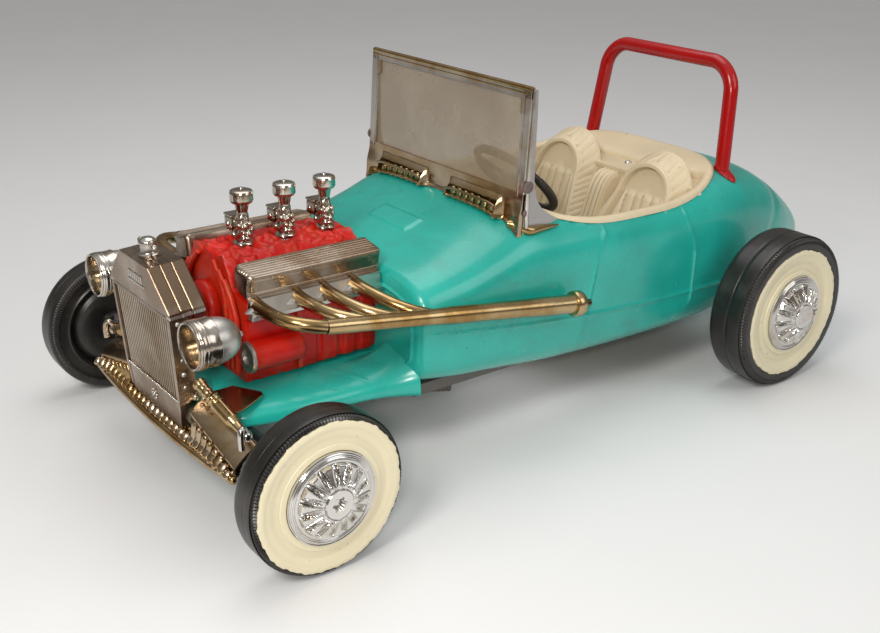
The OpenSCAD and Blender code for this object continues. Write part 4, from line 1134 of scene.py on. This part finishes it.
def on_head(side):
    """Maps (across, up, along) of a cover to the car: a tilt about the head's line."""
    def place(u, v, y):
        x = 67 + u * math.cos(COVER_TILT) + v * math.sin(COVER_TILT)
        z = 301 - u * math.sin(COVER_TILT) + v * math.cos(COVER_TILT)
        return joined(side * x, y, z)
    return place


def cover_outline():
    """Rounded box 41 wide and 32 high with grooves in its top and a panel line on its side."""
    top = np.linspace(5, 37, 120)
    grooves = -1.3 * np.clip(np.cos(2 * np.pi * (top - 5) / 5.33), 0, 1) ** 2 * (top > 6) * (top < 36)
    left = [(0, -32), (0, -6), (0.8, -3), (2.4, -1)]
    right = [(38.6, -0.8), (40.2, -2.2), (41, -4.5), (41, -9), (40.4, -9.6), (40.4, -24), (41, -24.6), (41, -28),
             (42.2, -28.6), (42.2, -32)]
    return np.array(left + list(zip(top, grooves)) + right)


COVER = cover_outline()
for hand, side in HANDS:
    cover_y = np.concatenate([24 + 9 * (1 - np.cos(np.linspace(0, np.pi / 2, 9))), np.arange(36, 212, 8),
                              219 - 3 * (1 - np.cos(np.linspace(np.pi / 2, 0, 5)))])
    end = np.minimum(9 * np.sin(np.arccos(np.clip(1 - (cover_y - 24) / 9, 0, 1))), 9) - 9
    end = end - (3 - 3 * np.sin(np.arccos(np.clip(1 - (219 - cover_y) / 3, 0, 1))))
    middle = np.array([20.5, -20])
    factor = 1 + end[:, None, None] / 32
    outline = middle + (COVER[None] - middle) * factor
    outline[..., 1] = np.where(COVER[None, :, 1] <= -31, COVER[None, :, 1], outline[..., 1])
    place = on_head(side)
    Shape().rings(place(outline[..., 0], outline[..., 1], cover_y[:, None])).make(
        f"ribbed_cover_{hand}", f"valve_cover_{hand}", "plated_silver", "plated_brown", crease=30)

# %% [markdown]
# ## Exhaust headers
# Four pipes leave a silver flange under each cover and bend into one long collector, which ends
# in a capped washer. The pipes are circles carried along smooth curves, worn to gold.

# %% Headers
PORTS = (34, 92, 132, 176)
JOINS = (0.12, 0.28, 0.38, 0.50)  # where each pipe meets the collector, as a share of its length
COLLECTOR = np.array([[200, 22, 257], [229, 456, 201.5]], float)


def bezier(a, b, c, d, count=26):
    """Cubic curve from a to d, pulled towards b and c."""
    t = np.linspace(0, 1, count)[:, None]
    a, b, c, d = (np.array(point) for point in (a, b, c, d))
    return (1 - t)**3 * a + 3 * t * (1 - t)**2 * b + 3 * t * t * (1 - t) * c + t**3 * d


for hand, side in HANDS:
    mirror = np.array([side, 1, 1])
    header = Shape()
    run = COLLECTOR[1] - COLLECTOR[0]
    flange = [(24, 241), (217, 241), (217, 263), (24, 263)]
    header.plate(flange, 103, 112, lambda y, z, x: joined(side * (x - 0.24 * (z - 251)), y, z), 1, 1.2)
    header.plate([(22, 239.0), (219, 239.0), (219, 243.4), (22, 243.4)], 103, 115,
                 lambda y, z, x: joined(side * (x + 1.5), y, z), 1, 0.8)
    for port, join in zip(PORTS, JOINS):
        meet = COLLECTOR[0] + run * join
        path = bezier([104, port, 253], [150, port + 2, 254], meet - run * 0.13 + [-9, 0, 6], meet)
        bulge = 8.6 + 3.2 * np.exp(-np.linspace(0, 26, 26) / 3.0)
        header.pipe(path * mirror, bulge, 0, sides=24)
        # gussets where the pipe leaves the flange
        header.plate([(port - 19, 250), (port - 5, 259), (port + 6, 259), (port + 16, 250), (port, 245)], 106, 117,
                     lambda y, z, x: joined(side * x, y, z), 1, 3.5)
    stretch = np.linspace(JOINS[0], 1, 30)[:, None]
    header.pipe((COLLECTOR[0] + run * stretch) * mirror, 9.2 + 4.3 * np.linspace(0, 1, 30) + 0.5 * lumps(
        np.linspace(0, 24, 30), 0, 1.0), 0, sides=28)
    tip = np.array([0, 0.001, 0.006, 0.028, 0.034, 0.035, 0.052, 0.056, 0.074, 0.079])
    tip_r = np.array([14.6, 17, 18.2, 18.2, 17, 7.5, 7.5, 5.5, 5.0, 2.5])
    header.pipe((COLLECTOR[1] + run * tip[:, None]) * mirror, tip_r, 0, sides=28)
    header.make(f"pipes_{hand}", f"exhaust_header_{hand}", "plated_gold", "plated_gold", "satin_silver", crease=50)

# %% [markdown]
# ## Carburettors and air cleaners
# Small lumpy castings: base, barrel, float bowl with a flat lid, neck and a can on top. The barrel
# is turned, then knobs are pressed into it by waves over angle and height.

# %% Carburettors
CARBS = (("front", 75), ("middle", 138), ("rear", 200))
INTAKE_Z, CAN_Z = 296, 353
for spot, y in CARBS:
    def standing(x, u, h, y=y):
        """Height upwards from the intake."""
        return joined(x, y + u, INTAKE_Z + h)

    def knobs(radius, height, angle):
        """Lumps and a wave five times round press knobs into the barrel."""
        rough = smoothstep(46, 34, height) * smoothstep(2, 6, radius)
        return radius + rough * (2.0 * lumps(angle * 3.2, height / 2.3, 1.5) + 1.4 * np.sin(5 * angle) * np.sin(
            height / 2.6)), height

    carb = Shape()
    barrel = [(0.01, 0), (14, 0), (14.5, 3), (13.5, 6), (10, 8), (10.5, 14), (12, 18), (10, 24), (11, 30), (9, 36),
              (8, 41), (7.2, 46), (8.5, 52), (9.5, 57), (0.01, 57)]
    carb.turned(dense(barrel, 2), standing, steps=72, wave=knobs)
    for angle, h, r in ((0.4, 31, 4.2), (1.5, 20, 4.0), (2.6, 27, 3.6), (4.2, 15, 4.4), (5.4, 30, 3.8), (0.0, 12, 4.0),
                        (3.4, 34, 3.2), (5.9, 20, 3.4)):
        carb.ball([11.5 * math.cos(angle), y + 11.5 * math.sin(angle), INTAKE_Z + h], r, 0, 9)
    box_part(carb, (-30, y - 10.5, 313), (-11, y + 10.5, 332), edge=2.0)
    box_part(carb, (-31, y - 11.5, 332), (-10, y + 11.5, 335.5), edge=1.0)
    carb.ball([-22, y - 9.5, 322], 4.5, 0, 9)
    carb.make(f"carburettor_{spot}_casting", f"carburettor_{spot}", "plated_silver", crease=50)

cans = Shape()
for spot, y in CARBS:
    can = [(0.01, 0), (9, 0), (13.5, 1.6), (15.2, 4), (15.5, 6), (15.2, 14), (15.5, 14.8), (15.2, 15.6), (14.6, 17.4),
           (12.5, 18.5), (7, 19.4), (3, 19.6), (2.6, 21), (1.8, 22), (0.01, 22.2)]
    cans.turned(can, lambda x, u, h, y=y: joined(x, y + u, CAN_Z + h), steps=72)
cans.make("air_cleaner_cans", "air_cleaners", "plated_silver", crease=40)

# %% [markdown]
# ## Radiator
# A six-sided flat tank over a tapering frame, both brownish plated plates. The lower frame holds a
# grille of fine upright ribs and a plain apron with a small rosette. All of it leans back a
# little, so one function maps upright radiator coordinates into the car.

# %% Radiator shell, grille and cap
NOSE_LEAN = math.radians(4)
APRON_TOP = 135


def at_nose(x, d, z):
    """Radiator coordinates: across, depth behind the front face, height; leaned about its foot."""
    z = z - APRON_TOP
    return joined(x, -66 + d * math.cos(NOSE_LEAN) - z * math.sin(NOSE_LEAN),
                  APRON_TOP + d * math.sin(NOSE_LEAN) + z * math.cos(NOSE_LEAN))


def nose(x, z, d):
    """The same for an outline in the radiator's face and a depth backwards."""
    return at_nose(x, d, z)


def level(top, half_top, foot, half_foot):
    """Outline of an upright plate that is as wide on both sides of the middle."""
    return [(-half_top, top), (half_top, top), (half_foot, foot), (-half_foot, foot)]


radiator = Shape()
for half_w, knee, d0, d1 in ((89, 261, 0, 16), (88, 261.6, 16.4, 31), (88.6, 261, 31.4, 48)):
    tank = [(-43, 308), (43, 308), (half_w, knee), (half_w, 257), (-half_w, 257), (-half_w, knee)]
    radiator.plate(tank, d0, d1, nose, 0, 1.0)
for d0, d1 in ((0, 16), (17, 31), (32, 48)):
    radiator.plate(level(257.5, 90, 254, 90), d0, d1, nose, 1, 0.8)
# the frame round the grille: two stiles, a top rail and the apron
for s in (-1, 1):
    radiator.plate([(s * 81, 254), (s * 88, 254), (s * 82, 135), (s * 76, 135)], 0, 24, nose, 0, 1.0)
    radiator.plate([(s * 76, 137), (s * 82, 137), (s * 76, 104), (s * 70, 104)], 0.2, 23.5, nose, 0, 1.0)
    # lugs beside the lamps
    for z, w in ((246, 5), (233, 4), (214, 4.5), (196, 3.5), (176, 5), (158, 4)):
        lug_x = s * (86.5 - (254 - z) * 0.05)
        radiator.ball(at_nose(lug_x, 10.0, z), w * 0.75, 1, 9)
radiator.plate(level(257, 81, 251, 81), 0, 8, nose, 0, 0.8)
radiator.plate(level(138, 77, 98, 70), 1.2, 23, nose, 0, 1.0)
# a black plate behind the grille ribs: painted shade, so the gaps between the ribs read as dark shadowed slots
radiator.plate(level(256, 82, 134, 76), 9, 23.5, nose, 3, 0.5)
# a plain raised panel of upright bars in place of a badge
for k in range(7):
    x = (k - 3) * 6.0
    radiator.plate([(x - 1.6, 290), (x + 1.6, 290), (x + 1.6, 279), (x - 1.6, 279)], -1.3, 0.5, nose, 1, 0.6)
radiator.plate(level(277, 24, 275.2, 24), -1.0, 0.5, nose, 1, 0.5)
# rosette: one knob with a ring of eight round it
for k in range(9):
    around = (k - 1) * math.pi / 4
    off = (0, 0) if k == 0 else (6.6 * math.cos(around), 6.6 * math.sin(around))
    radiator.ball(at_nose(off[0], 0.6, 119.0 + off[1]), 3.0 if k == 0 else 2.1, 1, 9)
radiator.make("radiator_shell_plated", "radiator_shell", "plated_silver", "plated_brown",
              "satin_silver", "grip_black", crease=30)

grille = Shape()
GRILLE_BARS = 25
for k in range(GRILLE_BARS):
    x_low, x_high = ((k - (GRILLE_BARS - 1) / 2) * pitch for pitch in (6.05, 6.5))
    share = np.linspace(0, 1, 5)
    grille.pipe(at_nose(x_low + (x_high - x_low) * share, 4.0, 136 + 118 * share), 1.25, 0, sides=8)
for k in range(46):
    x = (k - 22.5) * 3.3
    grille.ball(at_nose(x, 1.0, 137.6), 1.5, 1, 6)
grille.make("grille_ribs", "radiator_grille", "plated_silver", "plated_tan", "plated_bright", crease=60)

neck = [(0.01, 0), (13.5, 0), (13.5, 2.5), (11, 4), (10, 6), (10.2, 15), (11.2, 16), (11.2, 19), (10, 20.5),
        (7, 22.5), (3, 23.5), (0.01, 23.8)]
filler = Shape().turned(neck, lambda x, u, h: at_nose(x, 22 + u, 308 + h), steps=48)
handle = np.array([[-20, 22, 322], [-7, 22, 325], [7, 22, 325], [20, 22, 322]], float)
filler.pipe(at_nose(handle[:, 0], handle[:, 1], handle[:, 2]), 2.6, sides=12)
for x in (-20, 20):
    filler.ball(at_nose(x, 22.0, 322.0), 4.4)
filler.make("filler_cap", "radiator_cap", "plated_silver", crease=40)

# %% [markdown]
# ## Headlights
# Each lamp is a smooth bullet with a wide polished band, an open ring in front and a flat gold
# disc sunk inside. Both are profiles turned round the lamp's own axis.

# %% Headlights
LAMP = np.array([144.0, -72.0, 241.0])
for hand, side in HANDS:
    def at_lamp(x, u, h, side=side):
        """Height along the lamp's axis, back from the rim."""
        return joined(side * (LAMP[0] + x), LAMP[1] + h, LAMP[2] + u)

    shell = [(0.01, 12), (27, 12), (27, 4), (29, 4), (30.4, 6), (30.6, 9), (30.2, 10), (30.2, 22), (30.6, 23),
             (30.2, 24.5), (28.8, 25)]
    bulge = np.linspace(0, np.pi / 2, 22)[:-2]
    bullet = [(0.01, 24)] + [(28.8 * math.cos(a) ** 0.85, 25 + 35 * math.sin(a)) for a in bulge]
    bucket = Shape().turned(shell + [(0.01, 25)], at_lamp, 0, steps=72)
    bucket.turned(bullet + [(4, 60), (4, 63), (2.6, 65), (0.01, 65.5)], at_lamp, 2, steps=72)
    bucket.turned([(0.01, 10.5), (26.6, 10.5), (26.6, 11.9), (0.01, 11.9)], at_lamp, 1, steps=64)
    arm = np.array([[88, -54, 233], [98, -54, 232], [108, -53, 231], [118, -52, 232]], float) * [side, 1, 1]
    bucket.pipe(arm, [5.5, 4.2, 4.0, 4.6], 0, sides=16)
    bucket.make(f"lamp_{hand}", f"headlight_bucket_{hand}", "plated_silver", "plated_silver",
                "plated_gold", "satin_silver", crease=40)
    rim = [(26.2, 8), (26.2, -3), (26.8, -5.2), (28, -6), (29.2, -5.4), (29.6, -4.2), (29.2, -3.4), (30.2, -2.6),
           (30.6, -1.2), (30.0, -0.2), (30.6, 0.6), (30.9, 3), (30.6, 5.5), (29, 6), (28, 8)]
    Shape().turned(rim, at_lamp, steps=80).make(f"lamp_rim_{hand}", f"headlight_ring_{hand}",
                                                "plated_gold", "plated_silver", crease=40)

# %% [markdown]
# ## Nose plate, bar and dampers
# The nose is a plated moulding: a sloping plate with a crease, and under it a row of slanted
# rounded flutes. A gold bar bows in front of it. The dampers lie on the plate.

# %% Nose plate
PAN_HALF = 204
PAN_TOP = 148.0


def wing_top(x):
    """The plate is level beside the radiator and falls in a straight line towards its tips."""
    return PAN_TOP - np.clip(np.abs(x) - 92, 0, 120) * 0.24


pan_x = np.linspace(-PAN_HALF, PAN_HALF, 409)[None, :]
profile_d = np.array([-26, -28, -34, -42, -50, -55, -57, -57, -56, -56])[:, None]
drop = np.array([0, 0, 3.5, 9, 16, 21.5, 24, 28, 30, 58])[:, None]
pan_z = np.maximum(wing_top(pan_x) - 0.95 * drop, 91)
front_side = joined(pan_x, profile_d, pan_z)
back_side = front_side[::-1] + [0, 3.0, -2.2]
back_side[..., 2] = np.maximum(back_side[..., 2], 90)
pan = Shape()
for cut in (slice(0, 116), slice(293, 409)):  # the two wings beside the radiator
    pan.rings(np.concatenate([front_side[:, cut], back_side[:, cut]], 0).transpose(1, 0, 2), 0)
box_part(pan, (-92, -56, 92), (92, -52.5, 104), edge=0.8)
FLUTES, FLUTE_PITCH = 29, 14.2
for i in range(-(FLUTES // 2), FLUTES // 2 + 1):
    x = i * FLUTE_PITCH
    top = (wing_top(x) - 27) if abs(x) > 86 else 97
    slant = 0.16 * np.sign(x) if x else 0
    z = np.linspace(85.5, top, 11)
    path = joined(x + slant * (z - 94), -57.5 - 9 * smoothstep(100, 86, z), z)
    pan.pipe(path, np.array([2.2, 4.2, 5.4, 5.9, 6.0, 6.0, 5.9, 5.7, 5.4, 4.6, 2.5]), 0, sides=16, flat=0.85)
    if i % 2 == 0 and abs(x) > 86:
        pan.ball([x + 6, -60, top + 1], 2.6, 0, 8)
for sign in (-1, 1):
    # bolts and lugs by the foot of the radiator, and the pointed foot that lies on the deck
    for dx, y, z, r in ((98, -52, 150, 4.5), (104, -44, 148, 3.6), (92, -40, 150, 5), (112, -50, 144, 3.2)):
        pan.ball([sign * dx, y, z], r, 0, 9)
    foot = np.array([(88, -30), (146, -26), (150, -18), (140, 4), (128, 26), (121, 27), (88, 4)]) * [sign, 1]

    def on_deck(x, y, h):
        """Lies on the deck, which falls away towards its sides."""
        return joined(x, y, 144.6 + h - 0.00055 * np.clip(np.abs(x) - 60, 0, 99) ** 2)

    pan.plate(foot, 0, 2.2, on_deck, 0, 0.7)
# the skin between the flutes' tips and the bar
lip_x = np.linspace(-203, 203, 61)[:, None]
lip = np.array([[-56.0, 94], [-62, 90], [-68, 86.5], [-67, 84], [-60, 87.5], [-54, 91.5]])
pan.rings(joined(lip_x, lip[:, 0] + 8 * (lip_x / 203) ** 2, lip[:, 1]), 0)
pan.make("nose_plate", "front_pan", "plated_silver", "plated_worn", crease=45)

# %% [markdown]
# ### Gold bar and dampers
# The bar is one tube along a shallow bow. Each damper is a tube whose radius steps along its
# length, with a ball and a hook of silver at its outer end.

# %% Gold bar and dampers
BAR_HALF = 207
bar_x = np.linspace(-BAR_HALF, BAR_HALF, 61)
bar_z = 85.5 + 1.2 * smoothstep(150, BAR_HALF, np.abs(bar_x))
bar_path = joined(bar_x, -71 + 10 * (bar_x / BAR_HALF) ** 2, bar_z)
bar = Shape().pipe(bar_path, 5.6, 0, sides=14, flat=0.95)
for sign in (-1, 1):
    bar.ball([sign * 206.5, -61, 86.7], 5.6, 0, 10, (0.8, 1, 1))
bar.make("gold_bar", "bumper_bar", "plated_gold", crease=60)

FROM, REACH = np.array([101.0, -50, 172]), np.array([96.0, 14, -38])
for hand, side in HANDS:
    t = np.linspace(0, 1, 150)
    outline = np.interp(
        t, [0, 0.03, 0.05, 0.08, 0.10, 0.30, 0.32, 0.34, 0.37, 0.40, 0.43, 0.44, 0.72, 0.74, 0.80, 0.93, 0.97],
        [3, 8.6, 8.8, 8.8, 6.8, 6.6, 9.6, 7.2, 9.8, 7.2, 10.2, 9.6, 9.4, 8.4, 6.4, 5.4, 5.2])
    outline = outline + 0.8 * np.abs(np.sin(t * 36)) * (t < 0.31) * (t > 0.1)
    path = (FROM + REACH * t[:, None]) * [side, 1, 1]
    damper = Shape().pipe(path, outline, 0, sides=24)
    end_point = (FROM + REACH) * [side, 1, 1]
    damper.ball(end_point, 8.0, 1, 12)
    hook = bezier(end_point + [0, 0, 4], end_point + [side * 3, -8, 22], end_point + [side * 8, -12, 10],
                  end_point + [side * 7, -10, -12], 14)
    damper.pipe(hook, 4.2, 1, sides=12)
    damper.make(f"damper_{hand}", f"shock_absorber_{hand}", "plated_gold", "plated_gold",
                "plated_silver", crease=50)

# %% [markdown]
# ## Windshield
# A flat plated frame that leans back a little, around a brown aged clear pane. Its lower panel
# carries two hooded air scoops with a row of golden beads inside, and on both sides a flange
# widens into a curved foot. One function tilts upright windshield coordinates into the car.

# %% Windshield frame
SCREEN_LEAN = math.radians(3)
SCREEN_Y, HALF_W, TOP_Z = 398, 183, 499
PANE_HALF, PANE_LOW, PANE_HIGH = 167, 355, 483
SCOOP_X, SCOOP_HALF = 86, 62
SCOOP_BEADS, BEAD_PITCH = 7, 14.2


def at_screen(x, d, z):
    """Across, depth behind the face, height; tilted back about a line at z = 300."""
    z = z - 300.0
    return joined(x, SCREEN_Y + d * math.cos(SCREEN_LEAN) + z * math.sin(SCREEN_LEAN),
                  300 - d * math.sin(SCREEN_LEAN) + z * math.cos(SCREEN_LEAN))


def face_on(x, z, d):
    """Outline seen from the front, depth backwards."""
    return at_screen(x, d, z)


screen = Shape()
half, z0, z1, brow = PANE_HALF, PANE_LOW, PANE_HIGH, TOP_Z - 2
for s in (-1, 1):
    post = [(half, 345), (HALF_W, 330), (HALF_W, brow), (half, brow)]
    bead = [(half + 2, 350), (half + 5, 350), (half + 5, 488), (half + 2, 488)]
    notch = [(half - 5, z1 + 1), (half + 1, z1 + 1), (half + 1, z1 - 21), (half - 5, z1 - 21)]
    for outline, d0, d1, paint, edge in (
            (post, -3.6, 0.4, 0, 0.8), (bead, -4.6, -3, 0, 0.5), (notch, -3.0, 0, 2, 0.6)):
        screen.plate(np.array(outline) * [s, 1], d0, d1, face_on, paint, edge)
screen.plate([(-HALF_W, z1), (HALF_W, z1), (HALF_W, brow), (-HALF_W, brow)], -3.6, 0.4, face_on, 0, 0.8)
for dz, d, r in ((-3.8, 1.6, 4.0), (-9.5, 0.6, 2.6), (-13.6, 0.2, 1.8)):
    top_line = np.linspace(-HALF_W + 1, HALF_W - 1, 40)
    screen.pipe(at_screen(top_line, d - 2, TOP_Z + dz), r, 1 if r > 2 else 0, sides=14)

# lower panel: its foot follows the cowl and it bulges forward over both scoops
px = np.linspace(-HALF_W, HALF_W, 367)
foot = body_top(px, SCREEN_Y + 4) - 1.0
pz = foot + (356.0 - foot) * np.linspace(0, 1, 40)[:, None]
scoop = sum(smoothstep(SCOOP_HALF, SCOOP_HALF - 10, np.abs(px - s * SCOOP_X)) for s in (-1, 1))
hood = np.sin(np.clip((346 - pz) / 26, 0, 1) * np.pi / 2) ** 0.8 * scoop
inside = smoothstep(339, 333, pz) * smoothstep(0.93, 1.0, scoop)
corner = smoothstep(150, 176, np.abs(px))
depth = -3.6 - 15 * hood * (1 - inside) + 2.0 * inside - 4 * corner * smoothstep(348, 322, pz)
depth = depth - 3.0 * smoothstep(6, 1, pz - foot) * (1 - 0.4 * np.cos(px / 7.5)) * (1 - 0.5 * corner)
panel_front = at_screen(px, depth, pz)
panel_back = at_screen(px, 0.6, pz)
screen.rings(np.concatenate([panel_front, panel_back[::-1]], 0).transpose(1, 0, 2), 2)
for s in (-1, 1):
    for k in range(SCOOP_BEADS):
        x = s * SCOOP_X + (k - SCOOP_BEADS // 2) * BEAD_PITCH
        z = body_top(x, 402.0) + 8.5
        screen.ball(at_screen(x, -9.5, z), 6.2, 3, 12, (0.85, 0.9, 1.15))
    rail = np.linspace(s * SCOOP_X - 58, s * SCOOP_X + 58, 50)
    screen.pipe(at_screen(rail, -13.5, body_top(rail, 392) + 2.5 + 0.8 * np.cos(rail / 2.26)), 2.6, 3, sides=10)
    hood_x = np.linspace(s * SCOOP_X - 55, s * SCOOP_X + 55, 40)
    hood_z = 334.5 - 3.5 * np.abs((hood_x - s * SCOOP_X) / 55) ** 6
    screen.pipe(at_screen(hood_x, -17.0, hood_z), 2.0, 2, sides=10)

# the side flanges, which widen rearwards into a pointed foot
for s in (-1, 1):
    edge_z = np.linspace(TOP_Z - 4, 300, 90)
    reach = np.interp(edge_z, [300, 306, 311, 314.5, 317.5, 321, 326, 332, 341, 352, 372, 410, 460, 495],
                      [6, 34, 54, 66, 60, 52, 44, 34, 26, 20, 15, 12.5, 10.5, 8])
    strip = joined(-1, reach, reach, -1)
    face = np.array([HALF_W, HALF_W, HALF_W - 2.6, HALF_W - 2.6])
    screen.rings(at_screen(s * face[None, :], strip, edge_z[:, None]), 4)
    flute = np.array([(2, 494), (3, 440), (3.5, 390), (4, 350), (5, 322), (7, 306)])
    screen.pipe(at_screen(s * (HALF_W + 0.3), flute[:, 0], flute[:, 1]), [1.5, 2.8, 3.2, 3.4, 4.0, 3.6], 0, sides=12)
    # the golden foot that wraps round the cowl's shoulder
    t = np.linspace(0, 1, 24)
    shoe = joined(s * (HALF_W - 20 + 21 * smoothstep(0, 0.45, t)), 388 + 76 * t**1.3, 0 * t)
    shoe[:, 2] = body_top(np.minimum(np.abs(shoe[:, 0]), 196), shoe[:, 1]) + 5.0
    screen.pipe(shoe, 8.0 * (1 - 0.85 * t**2) * (0.7 + 0.3 * smoothstep(0, 0.2, t)), 3, sides=14)
screen.make("screen_frame", "windshield_frame", "plated_silver", "plated_silver", "plated_gold",
            "plated_worn", "plated_gold", "screen_flange", crease=40)

# %% [markdown]
# ## Pane
# The pane is a thin sheet with brown stains. It lets light through by plain transparency in its
# shader, with the stains as its colour.

# %% Pane
pane_x, pane_z = np.meshgrid(np.linspace(-half, half, 60), np.linspace(z0, z1, 30))
waviness = 0.35 * lumps(pane_x / 40, pane_z / 30, 2.0) * 0.6
pane_front = at_screen(pane_x, 1 + waviness, pane_z)
pane_back = at_screen(pane_x, 2.8 + waviness, pane_z)
Shape().rings(np.concatenate([pane_front, pane_back[::-1]], 0).transpose(1, 0, 2)).make(
    "clear_pane", "windshield_pane", "smoked_pane", crease=60)

# %% [markdown]
# ## Roll bar
# One bent tube with flattened feet that lie on the body. The path is two straight legs joined by
# quarter circles, and each foot is a stack of ovals laid on the body's surface.

# %% Roll bar
FOOT = np.array([148, 848, body_top(148, 848)])
TOP = np.array([133, 867, 477])
BEND_R = 42
roll = Shape()
turn = np.linspace(0, np.pi / 2, 16)[:, None]
leg_end = TOP + (FOOT - TOP) * BEND_R / (TOP[2] - FOOT[2])
straight_leg = FOOT + (leg_end - FOOT) * np.linspace(0.03, 1, 12)[:, None]
bend_end = TOP - [BEND_R, 0, 0]
corner = leg_end + (bend_end - TOP) * (1 - np.cos(turn)) + (TOP - leg_end) * np.sin(turn)
half_path = np.vstack([straight_leg, corner[1:]])
tube_path = np.vstack([half_path, (half_path * [-1, 1, 1])[::-1]])
TUBE_R = 11.5
roll.pipe(tube_path, TUBE_R, sides=28)
around = full_turn(48)
for s in (-1, 1):
    rings = []
    for grow, up in ((1.0, 0.3), (1.04, 1.8), (1.02, 3.4), (0.88, 4.8), (0.60, 6.2), (0.42, 9), (0.34, 13)):
        narrow = max(grow, 0.76)
        fx = (FOOT[0] + 4 * smoothstep(0.34, 0.9, grow) + 18 * grow * np.cos(around)
              + 2.5 * grow * np.cos(around) ** 3)
        fy = FOOT[1] + 3 + 13.5 * narrow * np.sin(around)
        rings.append(joined(s * fx, fy, body_top(fx, fy) + 0.4 + up))
    roll.rings(np.array(rings))
roll.make("roll_bar_tube", "roll_bar", "roll_bar_red", crease=50)

# %% [markdown]
# ### Steering wheel
# The rim is a ring whose thickness follows a fast cosine in three grips. Each spoke is two thin
# bars that spread towards the rim.

# %% Steering wheel
RAKE = math.radians(44)
HUB = np.array([0, 543, 313.0])
SPOKES = (90, 210, 330)
WHEEL_R = 71


def on_column(x, u, h):
    """Wheel-plane coordinates; the height runs down the shaft."""
    down = np.array([0, -math.cos(RAKE), -math.sin(RAKE)])
    rear = np.array([0, math.sin(RAKE), -math.cos(RAKE)])
    x, u, h = np.split(joined(x, u, h), 3, axis=-1)
    return HUB + x * [-1.0, 0, 0] + u * rear + h * down


around = full_turn(720)
grip_zone = np.ones_like(around)
for spoke in SPOKES:
    gap = np.abs((np.degrees(around) - spoke + 180) % 360 - 180)
    grip_zone *= smoothstep(12, 16, gap)
thick = 5.6 + grip_zone * (0.7 + 0.55 * np.cos(around * 120))
circle = full_turn(20)
rr = WHEEL_R + thick[:, None] * np.cos(circle)
wheel = Shape().rings(on_column(rr * np.cos(around)[:, None], rr * np.sin(around)[:, None],
                                thick[:, None] * np.sin(circle)), loop=True)
for spoke in SPOKES:
    a = math.radians(spoke)
    for side_shift in (-4.2, 4.2):
        t = np.linspace(10, 68, 12)
        wide = side_shift * (0.6 + 0.9 * (t / 68) ** 2)
        x, u = t * math.cos(a) - wide * math.sin(a), t * math.sin(a) + wide * math.cos(a)
        wheel.pipe(on_column(x, u, 3.5 - 2.5 * (t / 68)), 2.4, 0, sides=10)
    for t in (26, 44, 60):
        wheel.ball(on_column(t * math.cos(a), t * math.sin(a), 0.8), 1.6, 1, 8)
wheel.turned([(0.01, -3.5), (7, -3.2), (9, -1.5), (15, -0.5), (17, 2), (17, 17), (14, 20), (8.2, 20), (8.2, 12),
              (0.01, 12)], on_column, 0, steps=48)
wheel.turned([(0.01, -4.4), (5, -4.2), (6.5, -3), (6.5, -2), (0.01, -2)], on_column, 1, steps=32)
wheel.make("steering_wheel_rim", "steering_wheel", "grip_black", "grip_black", "plated_silver",
           body="steering_column", crease=50)

# %% [markdown]
# ### Screws and knobs
# Small turned parts: a brown knob and a screw on each post of the windshield, and one screw in
# the shelf behind the seats.

# %% Screws and knobs
knobs = Shape()
for s in (-1, 1):
    def outwards(y, z, s=s):
        """A turned part whose height points away from the windshield's post."""
        return lambda x, u, h: joined(s * (HALF_W + h), y + u, z + x)

    knobs.turned([(0.01, 0.3), (8, 0.3), (8.4, 1.5), (8.4, 3.4), (7.2, 4.6), (3, 5), (0.01, 5)],
                 outwards(404, 366), 1, 40)
    knobs.turned([(0.01, 0.3), (4.6, 0.3), (5, 1.2), (4.4, 2.8), (2.5, 3.5), (0.01, 3.6)], outwards(402, 330), 1, 32)
knobs.turned([(0.01, 0), (6.4, 0), (6.4, 0.8), (5.4, 2.2), (2.6, 3.4), (0.01, 3.6)],
             lambda x, u, h: joined(x, 790 + u, 302 + h), 0, 40)
knobs.make("screws_and_knobs", "screws", "bright_steel", "plated_bright", "knob_brown", crease=40)

# %% [markdown]
# ## The other pieces
# Frame, steering and drive keep their CAD shapes. Each gets the finish that its slot names.

# %% Finishes for the pieces that keep their CAD shape
replaced = {name for thing in bpy.data.objects for name in thing.get("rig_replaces", [])}
slot_of_node = {part["node"]: part["material_slot"] for part in frame["record"]["subparts"]}
for name, thing in nodes.items():
    if name in replaced:
        continue
    finish = FINISHES[slot_of_node[name]]
    if len(thing.data.materials) == 0:
        thing.data.materials.append(finish)
    for index in range(len(thing.data.materials)):
        thing.data.materials[index] = finish
print(len(nodes) - len(replaced), "pieces keep their CAD shape")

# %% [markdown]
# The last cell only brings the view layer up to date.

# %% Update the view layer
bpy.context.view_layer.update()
for side, axis in enumerate("xyz"):
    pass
